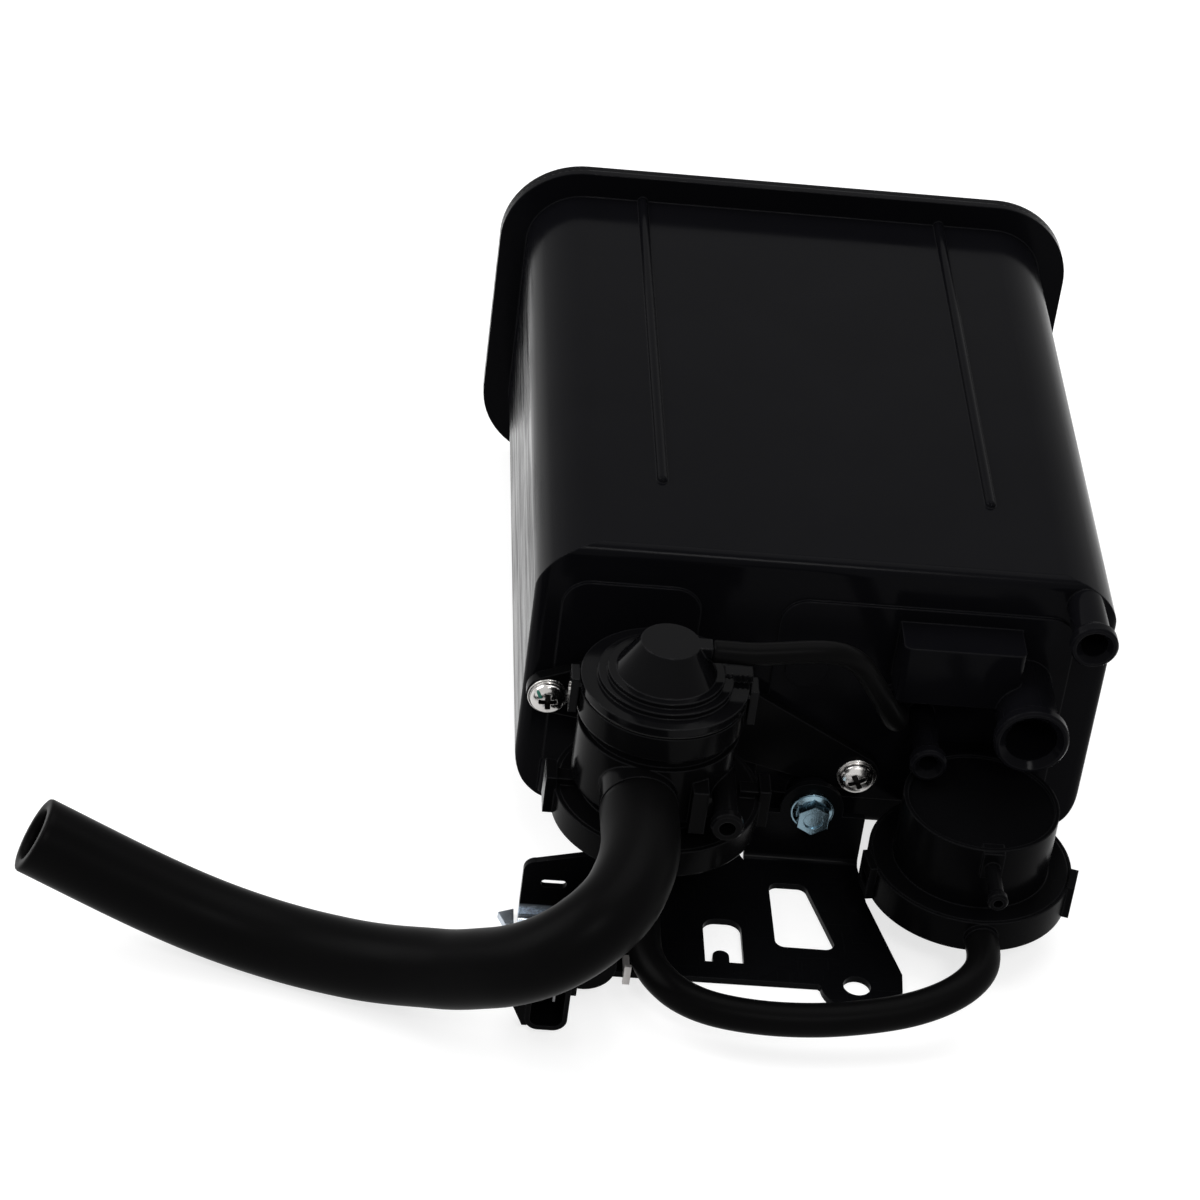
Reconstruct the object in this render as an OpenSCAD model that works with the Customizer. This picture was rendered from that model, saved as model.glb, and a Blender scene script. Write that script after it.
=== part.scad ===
// Vapour canister of a fuel system: a moulded case of active charcoal that lies on its broad
// side, with a diaphragm valve, an air filter, a vent solenoid and their hoses at the port end.
// Drawn in the case's own axes: x across, y from the port face to the end cover, z up from the
// underside. The whole part is then set down with the bracket's mounting hole at the origin.

/* [Case] */
// Width of the case across the broad side
case_w = 190; // [150:1:240]
// Height of the case, broad side to broad side
case_h = 105; // [96:0.5:130]
// Depth of the case from port face to weld flange
case_d = 222; // [150:1:300]
// Radius of the four long edges of the case
corner_r = 20; // [14:0.5:26]
// Rounding where the port face meets the sides
face_edge_r = 4; // [2:0.25:5]
// Wall thickness of the case
wall = 3; // [2:0.25:4]
// How far the weld flange stands out all round
flange_out = 9.6; // [7:0.2:12]
// Thickness of the case's weld flange
flange_t = 2.8; // [2:0.1:4]
// Thickness of the end cover's rim
cover_t = 2.6; // [2:0.1:4]
// Depth of the end cover's raised pan
pan_h = 6; // [3:0.5:10]
// Distance from the middle to each stiffening rib
rib_x = 54.5; // [35:0.5:65]
// Radius of the half-round stiffening ribs
rib_r = 1.8; // [1:0.1:2.6]
// Distance from the port face to the start of the ribs
rib_start = 41; // [20:1:80]
// How far the panels of the port face are raised
panel_raise = 1.2; // [0.6:0.1:2]
// Place across the case of the wall between the two beds
split_x = 32; // [20:1:45]
// Air space between the end cover and the beds' grids
spring_room = 18; // [12:1:30]

/* [Case ports] */
// Purge port: place across the case
purge_x = 82.8; // [78:0.1:84]
// Purge port: height above the case's underside
purge_z = 96.5; // [90:0.1:98]
// Purge port: radius of the tube
purge_r = 6; // [5:0.1:7]
// Purge port: radius of the bead at the mouth
purge_bead_r = 7.7; // [7:0.1:9]
// Purge port: length from the port face
purge_len = 24; // [18:0.5:34]
// Breather port: place across the case
breather_x = 67; // [60:0.5:72]
// Breather port: height above the case's underside
breather_z = 63.8; // [60:0.1:70]
// Breather port: radius of the tube
breather_r = 10; // [8:0.25:11]
// Breather port: radius of the bead at the mouth
breather_bead_r = 12.2; // [11:0.1:13]
// Breather port: length from the port face
breather_len = 33; // [28:0.5:45]
// Service port: place across the case
service_x = 36; // [34:0.5:44]
// Service port: height above the case's underside
service_z = 49.2; // [46:0.1:52]
// Service port: radius of the tube
service_r = 4.5; // [3.5:0.1:5]
// Service port: radius of the bead at the mouth
service_bead_r = 6.1; // [5.4:0.1:7]
// Service port: length from the port face
service_len = 30; // [20:0.5:40]
// Wall thickness of the ports' tubes
port_wall = 1.6; // [1.2:0.1:2]
// Length of the straight land on each port's bead
bead_land = 3; // [2:0.25:5]

/* [Pressure valve] */
// Valve axis: place across the case
valve_x = -54; // [-60:0.5:-50]
// Valve axis: distance in front of the port face
valve_y = 37; // [36:0.5:45]
// Radius of the valve's rim
valve_rim_r = 26.8; // [24:0.2:29]
// Radius of the valve's bowl
bowl_r = 26; // [24:0.2:28]
// Height of the valve's bowl floor flange above the case's underside
bowl_z = 35.4; // [34:0.2:38]
// Height of the clamped diaphragm above the case's underside
diaphragm_z = 78.5; // [77:0.5:82]
// Thickness of the diaphragm
diaphragm_t = 1; // [0.6:0.1:1.6]
// Lift of the valve plate
valve_lift = 2; // [1:0.25:3]
// Radius of the valve's snap-on base cap
base_cap_r = 33.5; // [32:0.25:36]
// Radius of the spigot that takes the tank hose
spigot_r = 8.2; // [7:0.1:9]
// Height of the tank spigot's axis above the case's underside
spigot_z = 53; // [52:0.5:56]

/* [Air filter] */
// Filter axis: place across the case
cup_x = 54; // [52:0.5:58]
// Filter axis: distance in front of the port face
cup_y = 36.5; // [36:0.5:42]
// Radius of the filter cup
cup_r = 25.5; // [22:0.25:28]
// Height of the cup's closed top above the case's underside
cup_top = 41; // [38:0.5:46]
// Radius of the cup's flange and of its cap
cup_flange_r = 33.4; // [31:0.2:35]
// Height of the cap's underside above the case's underside
cup_bottom = 7; // [5:0.5:9]

/* [Bracket] */
// Thickness of the bracket's sheet
sheet_t = 2.3; // [1.6:0.1:3]
// Inside radius of the bracket's folds
fold_r = 2.3; // [1.5:0.1:3]
// Radius of the mounting hole
hole_r = 4.5; // [3.5:0.1:5.5]
// Mounting hole: place across the case
hole_x = 17.4; // [14:0.2:20]
// Mounting hole: distance in front of the port face
hole_y = 74.4; // [70:0.2:78]
// Distance from the port face to the back of the bracket's upright tab
tab_y = 9.7; // [8:0.1:12]
// Bracket bolt: place across the case
bolt_x = 4.1; // [0:0.1:8]
// Bracket bolt: height above the case's underside
bolt_z = 14.3; // [13:0.1:15]

/* [Hoses] */
// Radius of the tank hose
tank_hose_r = 12.5; // [11:0.1:13]
// Radius of the vent hose and of the link hose
vent_hose_r = 5.5; // [5:0.1:6]
// Radius of the vent nipples inside those hoses
vent_nipple_r = 3.6; // [3:0.1:4]
// Radius of the signal hose
signal_hose_r = 3.7; // [3:0.1:4]
// Radius of the signal nipples inside that hose
signal_nipple_r = 2.2; // [1.6:0.1:2.4]

/* [Fits] */
// Gap between pieces that move past each other
run_gap = 0.3; // [0.15:0.05:0.5]
// Gap between fixed pieces that slide together
fit_gap = 0.15; // [0.05:0.05:0.3]

/* [Hidden] */
$fn = 64;

black = [0.09, 0.09, 0.1];
dark = [0.06, 0.06, 0.065];
rubber = [0.07, 0.07, 0.07];
felt = [0.82, 0.8, 0.74];
carbon = [0.13, 0.13, 0.13];
steel = [0.72, 0.73, 0.75];
zinc = [0.66, 0.71, 0.76];
brass = [0.78, 0.62, 0.32];
copper = [0.72, 0.4, 0.22];
pale = [0.9, 0.82, 0.8];

// Bracket levels: the plate's underside is level with the flange's lowest edge
plate_bottom = -flange_out;
plate_top = plate_bottom + sheet_t;
fold_out = fold_r + sheet_t;

// Levels inside the case along y
felt_t = 4;
stand_off = 7;
grid_t = 3;
open_end = case_d + flange_t;
grid_y = open_end - spring_room;
bed_end = grid_y - felt_t;
bed_start = stand_off + felt_t;
inner_w = case_w - 2 * wall;
inner_h = case_h - 2 * wall;
split_t = 3;
main_w = split_x - split_t / 2 + inner_w / 2;
side_w = inner_w / 2 - split_x - split_t / 2;
main_mid = (split_x - split_t / 2 - inner_w / 2) / 2;
side_mid = (split_x + split_t / 2 + inner_w / 2) / 2;
bed_gap = 0.3;
bed_spring_r = 11;

// Label block on the port face, left bare
block_x0 = 24;
block_x1 = 64;
block_z0 = 64;
block_z1 = 85.5;
block_out = 16;

// Pressure valve levels
vy = -valve_y;
bowl_wall = 2.4;
bowl_floor_h = 3.6;
rim_top = diaphragm_z + diaphragm_t;
seat_z = diaphragm_z - 3;
seat_r = 9;
seat_bore_r = 6.6;
plate_t = diaphragm_z - seat_z - 2 * run_gap;
cap_rim_t = 3;
cap_top = 97;
cap_top_r = 9.4;
cap_base_r = 16;
signal_z = cap_top - 2.7;
signal_boss_x = valve_x + 13.3;
signal_tip_x = signal_boss_x + 6;
cap_step = 3.9;
cap_room = 15.9;
spigot_x = valve_x - 6;
spigot_wall = 1.8;
hose_start = valve_y + bowl_r + 3.5;
spigot_end = hose_start + 16;
k_nipple_x = valve_x + 21.5;
k_nipple_end = valve_y + 37;
base_cap_x = valve_x + 2.5;
base_bottom = bowl_z - 6;
mount_t = 4;
mount_back = panel_raise;
mount_front = panel_raise + mount_t;
screw_l = [-87.3, 48.8];
screw_r = [17.9, 24.8];
screw_shank_r = 2.4;
washer_r = 6.6;
washer_t = 1;
head_r = 5.7;
head_h = 3.4;
duct_r = 6.2;
duct_spigot_r = 8.6;

// Air filter levels
cy = -cup_y;
cup_wall = 2;
cup_flange_z = cup_bottom + 8.2;
cup_flange_t = 3.2;
rail_z0 = 24;
rail_z1 = 36;
vent_collar_y = cup_y + cup_flange_r + 2;
vent_port_z = cup_bottom + 5.5;
lug_turns = [-15, 190];

// Vent solenoid
coil_x = -72;
coil_z = plate_top + 10.3;
coil_r = 10;
coil_front = 85;
coil_back = 62;
chamber_back = 53;
chamber_x = -66;
link_x = -60;
link_z = 8.5;
link_collar = 4;
vent_x = -53;
vent_z = 5;
vent_end_y = 63;
vent_nipple_len = 6;
plunger_r = 4;
seat_y = 58.2;
conn_x0 = -91;
conn_x1 = -77.6;
conn_z0 = plate_top + 0.3;
conn_z1 = 10.5;
conn_front = 105.5;
conn_depth = 13;
conn_wall = 1.6;
peg_r = 3;
peg_y = 68;

// Signal hose's nipple on the port face
signal_x = 26.5;
signal_port_z = 56;
signal_collar = 4;

// Routes of the hoses, chosen by hand in the case's axes
tank_route = [
    [-60, -66.5, 53], [-60, -75, 53], [-60, -83, 53], [-61, -91.5, 52.5], [-63.5, -100.5, 51.2],
    [-67.5, -108.8, 49], [-74, -115.6, 45.6], [-82, -119.3, 40.4], [-90.5, -119.6, 34.4],
    [-98.8, -116.8, 28.2], [-107, -112.2, 22.4], [-115, -107.3, 17], [-124, -102, 12.5],
    [-133, -97.5, 8.8], [-142, -93.5, 6.1], [-152, -89.3, 4.2], [-163, -85.1, 3.1],
    [-174, -81.7, 3.4], [-185, -79.3, 5.2], [-196, -77.6, 8.3], [-207, -76.3, 12.4],
    [-218, -75.3, 17.2], [-229, -74.4, 22.4], [-240, -73.6, 27.8], [-247.5, -73.1, 31.5]
];
vent_route = [
    [55, -71.9, 12.5], [55, -78, 12.5], [53.8, -84, 12.2], [50.5, -89.5, 11.4], [45, -94.5, 10.2],
    [37.5, -98.3, 8.4], [28, -101.2, 6.6], [15.5, -103.6, 5.2], [1.5, -105.2, 4.2],
    [-13, -105.3, 3.6], [-26, -103.8, 3.4], [-36, -101, 3.6], [-44, -96.2, 4.2],
    [-49.8, -88.8, 4.8], [-52.5, -81, 5], [-53, -74, 5], [-53, -68, 5], [-53, -63, 5]
];
signal_route = [
    [-40.5, -37, 94.3], [-35, -37, 94.3], [-28, -37, 94.3], [-19, -36.5, 95], [-10, -35.8, 95.8],
    [-3, -35, 95.6], [3, -33.5, 93.3], [8, -31.5, 88.8], [12.5, -29.8, 82], [16.5, -28, 75],
    [20, -25.5, 68.2], [23.3, -22, 61.8], [25.6, -17, 57.6], [26.5, -11, 56], [26.5, -4, 56]
];

// Helpers: extrusions and round bars along each axis

module along_x(a, b) {
    translate([a, 0, 0])
        rotate([90, 0, 90])
            linear_extrude(height = b - a)
                children();
}

module along_y(a, b) {
    translate([0, b, 0])
        rotate([90, 0, 0])
            linear_extrude(height = b - a)
                children();
}

module along_z(a, b) {
    translate([0, 0, a])
        linear_extrude(height = b - a)
            children();
}

module x_rod(y, z, r, a, b) {
    translate([a, y, z])
        rotate([0, 90, 0])
            cylinder(r = r, h = b - a);
}

module y_rod(x, z, r, a, b) {
    translate([x, b, z])
        rotate([90, 0, 0])
            cylinder(r = r, h = b - a);
}

module z_rod(x, y, r, a, b) {
    translate([x, y, a])
        cylinder(r = r, h = b - a);
}

module box(x0, x1, y0, y1, z0, z1) {
    translate([x0, y0, z0])
        cube([x1 - x0, y1 - y0, z1 - z0]);
}

// A rectangle with true round corners, about its own middle
module round_rect(w, h, r) {
    square([w - 2 * r, h], center = true);
    square([w, h - 2 * r], center = true);
    for (sx = [-1, 1], sy = [-1, 1])
        translate([sx * (w / 2 - r), sy * (h / 2 - r)])
            circle(r = r);
}

// The case's outline in x and z, grown outwards
module case_outline(grow) {
    translate([0, case_h / 2])
        round_rect(case_w + 2 * grow, case_h + 2 * grow, corner_r + grow);
}

// A strip that starts at 0 with two rounded front corners
module front_rounded(w, d, r) {
    translate([-w / 2, r])
        square([w, d - r]);
    translate([-w / 2 + r, 0])
        square([w - 2 * r, d]);
    for (s = [-1, 1])
        translate([s * (w / 2 - r), r])
            circle(r = r);
}

// A hose tube's tip along -y: straight tube and a bead with a land and two tapers
module y_nipple(x, z, r, bead_r, root, tip, land) {
    lead = 0.9;
    back = 1.2 * (bead_r - r) + 0.6;
    y_rod(x, z, r, -tip + lead, -root);
    y_rod(x, z, bead_r, -tip + lead, -tip + lead + land);
    translate([x, -tip + lead, z])
        rotate([90, 0, 0])
            cylinder(r1 = bead_r, r2 = bead_r - 0.7, h = lead);
    translate([x, -tip + lead + land + back, z])
        rotate([90, 0, 0])
            cylinder(r1 = r, r2 = bead_r, h = back);
}

module ring(r, wire_r) {
    rotate_extrude()
        translate([r, 0])
            circle(r = wire_r);
}

// A hollow hose along a route: one ring of points at each route point
function unit(v) = v / norm(v);
function heading(p, i) = unit(p[min(i + 1, len(p) - 1)] - p[max(i - 1, 0)]);
function across(d) = unit(cross(d, abs(d[2]) > 0.9 ? [1, 0, 0] : [0, 0, 1]));
function hoop(c, d, r, n) = [
    for (k = [0:n - 1])
        let (u = across(d), v = cross(d, u), a = 360 * k / n)
            c + r * (cos(a) * u + sin(a) * v)
];
function halves(a, b, c, d) = [[a, c, b], [a, d, c]];
function hoops(p, r, n) = [for (i = [0:len(p) - 1]) each hoop(p[i], heading(p, i), r, n)];

module hose(route, outer, bore, n) {
    m = len(route);
    points = concat(hoops(route, outer, n), hoops(route, bore, n));
    base = m * n;
    skin = [
        for (i = [0:m - 2], k = [0:n - 1])
            each halves(i * n + k, i * n + (k + 1) % n, (i + 1) * n + (k + 1) % n, (i + 1) * n + k)
    ];
    lining = [for (t = skin) [base + t[2], base + t[1], base + t[0]]];
    first = [
        for (k = [0:n - 1])
            each halves(k, base + k, base + (k + 1) % n, (k + 1) % n)
    ];
    end = (m - 1) * n;
    last = [
        for (k = [0:n - 1])
            each halves(end + k, end + (k + 1) % n, base + end + (k + 1) % n, base + end + k)
    ];
    polyhedron(points, concat(skin, lining, first, last), convexity = 8);
}

// A round wire wound along z, with its ends closed
module coil_spring(r, wire_r, h, turns) {
    per_turn = 14;
    n = 8;
    m = turns * per_turn;
    path = [
        for (i = [0:m])
            [r * cos(360 * i / per_turn), r * sin(360 * i / per_turn), wire_r + (h - 2 * wire_r) * i / m]
    ];
    points = hoops(path, wire_r, n);
    skin = [
        for (i = [0:m - 1], k = [0:n - 1])
            each halves(i * n + k, i * n + (k + 1) % n, (i + 1) * n + (k + 1) % n, (i + 1) * n + k)
    ];
    first = [[for (k = [0:n - 1]) k]];
    last = [[for (k = [n - 1:-1:0]) m * n + k]];
    polyhedron(points, concat(skin, first, last), convexity = 6);
}

// Everything is set down with the bracket's mounting hole at the origin
module place() {
    translate([-hole_x, hole_y, -plate_bottom])
        children();
}

// Canister case

module case_shell() {
    difference() {
        intersection() {
            along_y(0, case_d + flange_t)
                case_outline(0);
            along_z(-1, case_h + 1)
                front_rounded(case_w, case_d + flange_t, face_edge_r);
            along_x(-case_w / 2 - 1, case_w / 2 + 1)
                translate([0, case_h / 2])
                    mirror([1, -1, 0])
                        front_rounded(case_h, case_d + flange_t, face_edge_r);
        }
        along_y(wall, open_end + 1)
            case_outline(-wall);
    }
}

module weld_flange() {
    difference() {
        along_y(case_d, open_end)
            case_outline(flange_out);
        along_y(case_d - 1, open_end + 1)
            case_outline(-wall);
    }
}

module face_panel(x0, x1, z0, z1) {
    along_y(-panel_raise, 0.5)
        translate([(x0 + x1) / 2, (z0 + z1) / 2])
            round_rect(x1 - x0, z1 - z0, 9);
}

module case_ribs() {
    for (s = [-1, 1]) {
        y_rod(s * rib_x, case_h, rib_r, rib_start, case_d + 1);
        translate([s * rib_x, rib_start, case_h])
            sphere(r = rib_r);
    }
}

module label_block() {
    along_z(block_z0, block_z1)
        translate([(block_x0 + block_x1) / 2, 2 - block_out / 2])
            round_rect(block_x1 - block_x0, block_out + 4, 2.5);
}

module filter_rail() {
    box(cup_x - 6, cup_x + 6, -8, 0.5, rail_z0, rail_z1);
    box(cup_x - 9, cup_x + 9, -8, -5, rail_z0, rail_z1);
}

module case_fittings() {
    case_ribs();
    face_panel(-86, -41, 12, 91.5);
    face_panel(-15, 82, 12, 90.5);
    label_block();
    filter_rail();
    y_nipple(purge_x, purge_z, purge_r, purge_bead_r, -1, purge_len, bead_land);
    y_nipple(breather_x, breather_z, breather_r, breather_bead_r, -1, breather_len, bead_land);
    y_nipple(service_x, service_z, service_r, service_bead_r, -1, service_len, bead_land);
    y_nipple(link_x, link_z, vent_nipple_r, vent_nipple_r, -1, 16, 2);
    y_rod(link_x, link_z, vent_hose_r, -link_collar, 0.5);
    y_nipple(signal_x, signal_port_z, signal_nipple_r, signal_nipple_r, -1, 12, 2);
    y_rod(signal_x, signal_port_z, signal_hose_r + 0.8, -signal_collar, 0.5);
    y_rod(bolt_x, bolt_z, 8, -tab_y, 0.5);
    for (s = [screw_l, screw_r])
        y_rod(s[0], s[1], 6, -panel_raise, stand_off);
    // A rounded upright rib at the lower left of the port face
    z_rod(-83.5, 0, 3, 6, 17);
    translate([-83.5, 0, 17])
        sphere(r = 3);
    // A shallow round boss between the panels' upper ports
    y_rod(-4, 64, 7, -panel_raise - 1, 0.5);
    // Pegs inside that hold the felts off the ports
    for (x = [-70, -25, 5, 50, 80], z = [18, case_h - 18])
        y_rod(x, z, 3, wall - 0.5, stand_off);
}

module port_bore(x, z, bore, bead_r, tip) {
    y_rod(x, z, bore, -tip - 1, wall + 1);
    translate([x, -tip + 2, z])
        rotate([90, 0, 0])
            cylinder(r1 = bore, r2 = bead_r - 1.5, h = 2.1);
}

module case_bores() {
    port_bore(purge_x, purge_z, purge_r - port_wall, purge_bead_r, purge_len);
    port_bore(breather_x, breather_z, breather_r - port_wall, breather_bead_r, breather_len);
    port_bore(service_x, service_z, service_r - port_wall, service_bead_r, service_len);
    y_rod(link_x, link_z, vent_nipple_r - port_wall, -17, wall + 1);
    y_rod(signal_x, signal_port_z, signal_nipple_r - 1, -13, wall + 1);
    y_rod(valve_x, spigot_z, duct_spigot_r + fit_gap, -panel_raise - 1, wall + 1);
    y_rod(bolt_x, bolt_z, 4.2 + fit_gap, -tab_y - 1, 1.4);
    for (s = [screw_l, screw_r])
        y_rod(s[0], s[1], screw_shank_r + fit_gap, -panel_raise - 1, stand_off - 1);
}

module canister_case() {
    color(black)
        place()
            difference() {
                union() {
                    case_shell();
                    weld_flange();
                    case_fittings();
                    along_y(wall - 0.5, grid_y)
                        translate([split_x, case_h / 2])
                            square([split_t, inner_h + 1], center = true);
                }
                case_bores();
            }
}

module end_cover() {
    color(black)
        place()
            difference() {
                union() {
                    along_y(open_end, open_end + cover_t)
                        case_outline(flange_out);
                    along_y(open_end + cover_t - 0.5, open_end + cover_t + pan_h)
                        case_outline(-8);
                    for (x = [-60, -20, 20, 60])
                        along_y(open_end + cover_t + pan_h - 0.5, open_end + cover_t + pan_h + 1.5)
                            translate([x, case_h / 2])
                                round_rect(4, 60, 1.9);
                }
                along_y(open_end - 1, open_end + pan_h)
                    case_outline(-8 - cover_t);
            }
}

// What fills the case: beds, felts, perforated grids and their springs

module bed_block(mid, w, y0, y1) {
    along_y(y0, y1)
        intersection() {
            translate([mid, case_h / 2])
                square([w - 2 * bed_gap, inner_h], center = true);
            case_outline(-wall - bed_gap);
        }
}

module main_charcoal_bed() {
    color(carbon)
        place()
            bed_block(main_mid, main_w, bed_start, bed_end);
}

module side_charcoal_bed() {
    color(carbon)
        place()
            bed_block(side_mid, side_w, bed_start, bed_end);
}

module main_port_felt() {
    color(felt)
        place()
            bed_block(main_mid, main_w, stand_off, bed_start);
}

module side_port_felt() {
    color(felt)
        place()
            bed_block(side_mid, side_w, stand_off, bed_start);
}

module main_end_felt() {
    color(felt)
        place()
            bed_block(main_mid, main_w, bed_end, grid_y);
}

module side_end_felt() {
    color(felt)
        place()
            bed_block(side_mid, side_w, bed_end, grid_y);
}

module grid_plate(mid, w, columns) {
    difference() {
        bed_block(mid, w, grid_y, grid_y + grid_t);
        for (i = [0:columns - 1], j = [0:4])
            y_rod(mid + (i - (columns - 1) / 2) * 19, case_h / 2 + (j - 2) * 17, 5, grid_y - 1, grid_y + grid_t + 1);
    }
}

module main_grid() {
    color(black)
        place()
            grid_plate(main_mid, main_w, 6);
}

module side_grid() {
    color(black)
        place()
            grid_plate(side_mid, side_w, 3);
}

module bed_springs() {
    spring_h = open_end + pan_h - grid_y - grid_t;
    color(steel)
        place()
            for (x = [main_mid - main_w / 4, main_mid + main_w / 4, side_mid])
                translate([x, grid_y + grid_t, case_h / 2])
                    rotate([-90, 0, 0])
                        coil_spring(bed_spring_r, 0.9, spring_h, 3);
}

// Pressure valve

module mount_outline() {
    hull() {
        translate(screw_l)
            circle(r = 7);
        translate([valve_x + 4, spigot_z])
            circle(r = 17);
    }
    hull() {
        translate([valve_x + 4, spigot_z])
            circle(r = 17);
        translate(screw_r)
            circle(r = 7.5);
    }
}

module valve_mount() {
    difference() {
        along_y(-mount_front, -mount_back)
            mount_outline();
        y_rod(bolt_x, bolt_z, 8 + run_gap, -mount_front - 1, 0);
        for (s = [screw_l, screw_r])
            y_rod(s[0], s[1], screw_shank_r + run_gap, -mount_front - 1, 0);
        // Room for the base cap's edge
        z_rod(base_cap_x, vy, base_cap_r + run_gap, base_bottom - 1, bowl_z + bowl_floor_h + run_gap);
    }
}

module valve_shell() {
    z_rod(valve_x, vy, bowl_r, bowl_z + 9, bowl_z + 30);
    translate([valve_x, vy, bowl_z + 3])
        cylinder(r1 = bowl_r - 4, r2 = bowl_r, h = 6);
    z_rod(valve_x, vy, bowl_r - 2, bowl_z + 30, diaphragm_z - 8);
    z_rod(valve_x, vy, valve_rim_r, diaphragm_z - 8.5, diaphragm_z);
    z_rod(base_cap_x, vy, base_cap_r - 1.5, bowl_z, bowl_z + bowl_floor_h);
    y_rod(spigot_x, spigot_z, spigot_r, -spigot_end, vy);
    y_rod(spigot_x, spigot_z, tank_hose_r, -hose_start, vy);
    y_nipple(k_nipple_x, spigot_z, 4, 5.2, valve_y, k_nipple_end, 2.5);
    // Duct from the bowl to the mounting plate
    along_y(vy, -mount_front + 1)
        translate([valve_x + 1, spigot_z])
            round_rect(34, 21, 5);
    // Lug between the spigot and the nipple
    box(valve_x + 10.5, valve_x + 15.5, vy - 29, vy, spigot_z - 9, spigot_z + 7);
    // Catches for the base cap's snap legs
    for (s = [-1, 1])
        translate([base_cap_x, vy, 0])
            rotate([0, 0, 90 - 90 * s]) {
                box(base_cap_r - 7, base_cap_r - 2, -2.7, 2.7, bowl_z + 1, bowl_z + 6.2);
                box(base_cap_r - 3, base_cap_r + 0.6, -2.7, 2.7, bowl_z + 4.8, bowl_z + 6.2);
            }
}

module valve_hollow() {
    inner_r = bowl_r - 2 - bowl_wall;
    z_rod(valve_x, vy, inner_r, bowl_z - 1, diaphragm_z + 1);
    y_rod(spigot_x, spigot_z, spigot_r - spigot_wall, -spigot_end - 1, vy - 10);
    y_rod(k_nipple_x, spigot_z, 2.6, -k_nipple_end - 1, vy - 5);
}

module valve_body() {
    color(black)
        place()
            difference() {
                union() {
                    difference() {
                        union() {
                            valve_mount();
                            valve_shell();
                        }
                        valve_hollow();
                    }
                    // Seat tube and its duct into the case
                    z_rod(valve_x, vy, seat_r, spigot_z - 10, seat_z);
                    y_rod(valve_x, spigot_z, seat_r, vy, -valve_y + 22);
                    y_rod(valve_x, spigot_z, duct_spigot_r, -mount_front, wall);
                }
                z_rod(valve_x, vy, seat_bore_r, spigot_z - 8, seat_z + 1);
                y_rod(valve_x, spigot_z, duct_r, vy, wall + 1);
            }
}

module valve_cap() {
    color(dark)
        place()
            difference() {
                union() {
                    z_rod(valve_x, vy, valve_rim_r, rim_top, rim_top + cap_rim_t);
                    z_rod(valve_x, vy, 21.5, rim_top, rim_top + cap_rim_t + 1.8);
                    z_rod(valve_x, vy, 18.6, rim_top, rim_top + cap_rim_t + 3.6);
                    translate([valve_x, vy, rim_top + cap_rim_t + 3.6])
                        cylinder(r1 = cap_base_r, r2 = cap_top_r, h = cap_top - rim_top - cap_rim_t - 3.6);
                    box(valve_x, signal_boss_x, vy - 2.7, vy + 2.7, signal_z, cap_top);
                    x_rod(vy, signal_z, 2.7, valve_x, signal_boss_x);
                    x_rod(vy, signal_z, signal_nipple_r, valve_x, signal_tip_x);
                    // Snap legs down over the rim and a ribbed grip on the right
                    for (s = [-1, 1])
                        box(valve_x + s * (valve_rim_r + 1.6) - 1.3, valve_x + s * (valve_rim_r + 1.6) + 1.3,
                            vy - 4, vy + 4, diaphragm_z - 9, rim_top + cap_rim_t);
                    box(valve_x - valve_rim_r - 0.6, valve_x + valve_rim_r + 0.6,
                        vy - 4, vy + 4, rim_top, rim_top + 1.5);
                    box(valve_x + valve_rim_r - 8, valve_x + valve_rim_r + 1, vy + 1, vy + 6, rim_top, rim_top + 5.6);
                    for (k = [0:4])
                        z_rod(valve_x + valve_rim_r - 6.6 + k * 1.6, vy + 1, 0.5, rim_top + 2, rim_top + 5.6);
                }
                z_rod(valve_x, vy, 17, rim_top - 1, rim_top + 4);
                translate([valve_x, vy, rim_top + cap_step])
                    cylinder(r1 = 13.4, r2 = 7.6, h = cap_room - cap_step);
                x_rod(vy, signal_z, signal_nipple_r - 1, valve_x, signal_tip_x + 1);
            }
}

module valve_diaphragm() {
    color(rubber)
        place()
            difference() {
                union() {
                    z_rod(valve_x, vy, valve_rim_r - 0.6, diaphragm_z, rim_top);
                    translate([valve_x, vy, diaphragm_z + diaphragm_t / 2])
                        ring(14.6, diaphragm_t * 0.8);
                }
                z_rod(valve_x, vy, 2 + run_gap, diaphragm_z - 1, rim_top + 1);
            }
}

module valve_plate() {
    color(steel)
        place() {
            z_rod(valve_x, vy, 11, seat_z + run_gap, seat_z + run_gap + plate_t);
            z_rod(valve_x, vy, 2, seat_z + run_gap, rim_top + 1.6);
            difference() {
                z_rod(valve_x, vy, 10.4, rim_top + run_gap, rim_top + 1.6);
                for (a = [0:60:300])
                    rotate_about(valve_x, vy, a)
                        z_rod(valve_x + 7.6, vy, 1.1, rim_top, rim_top + 2);
            }
        }
}

module rotate_about(x, y, a) {
    translate([x, y, 0])
        rotate([0, 0, a])
            translate([-x, -y, 0])
                children();
}

module valve_spring() {
    spring_bottom = rim_top + 1.6;
    color(steel)
        place()
            translate([valve_x, vy, spring_bottom])
                coil_spring(5, 0.6, rim_top + cap_room - spring_bottom, 4);
}

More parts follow.
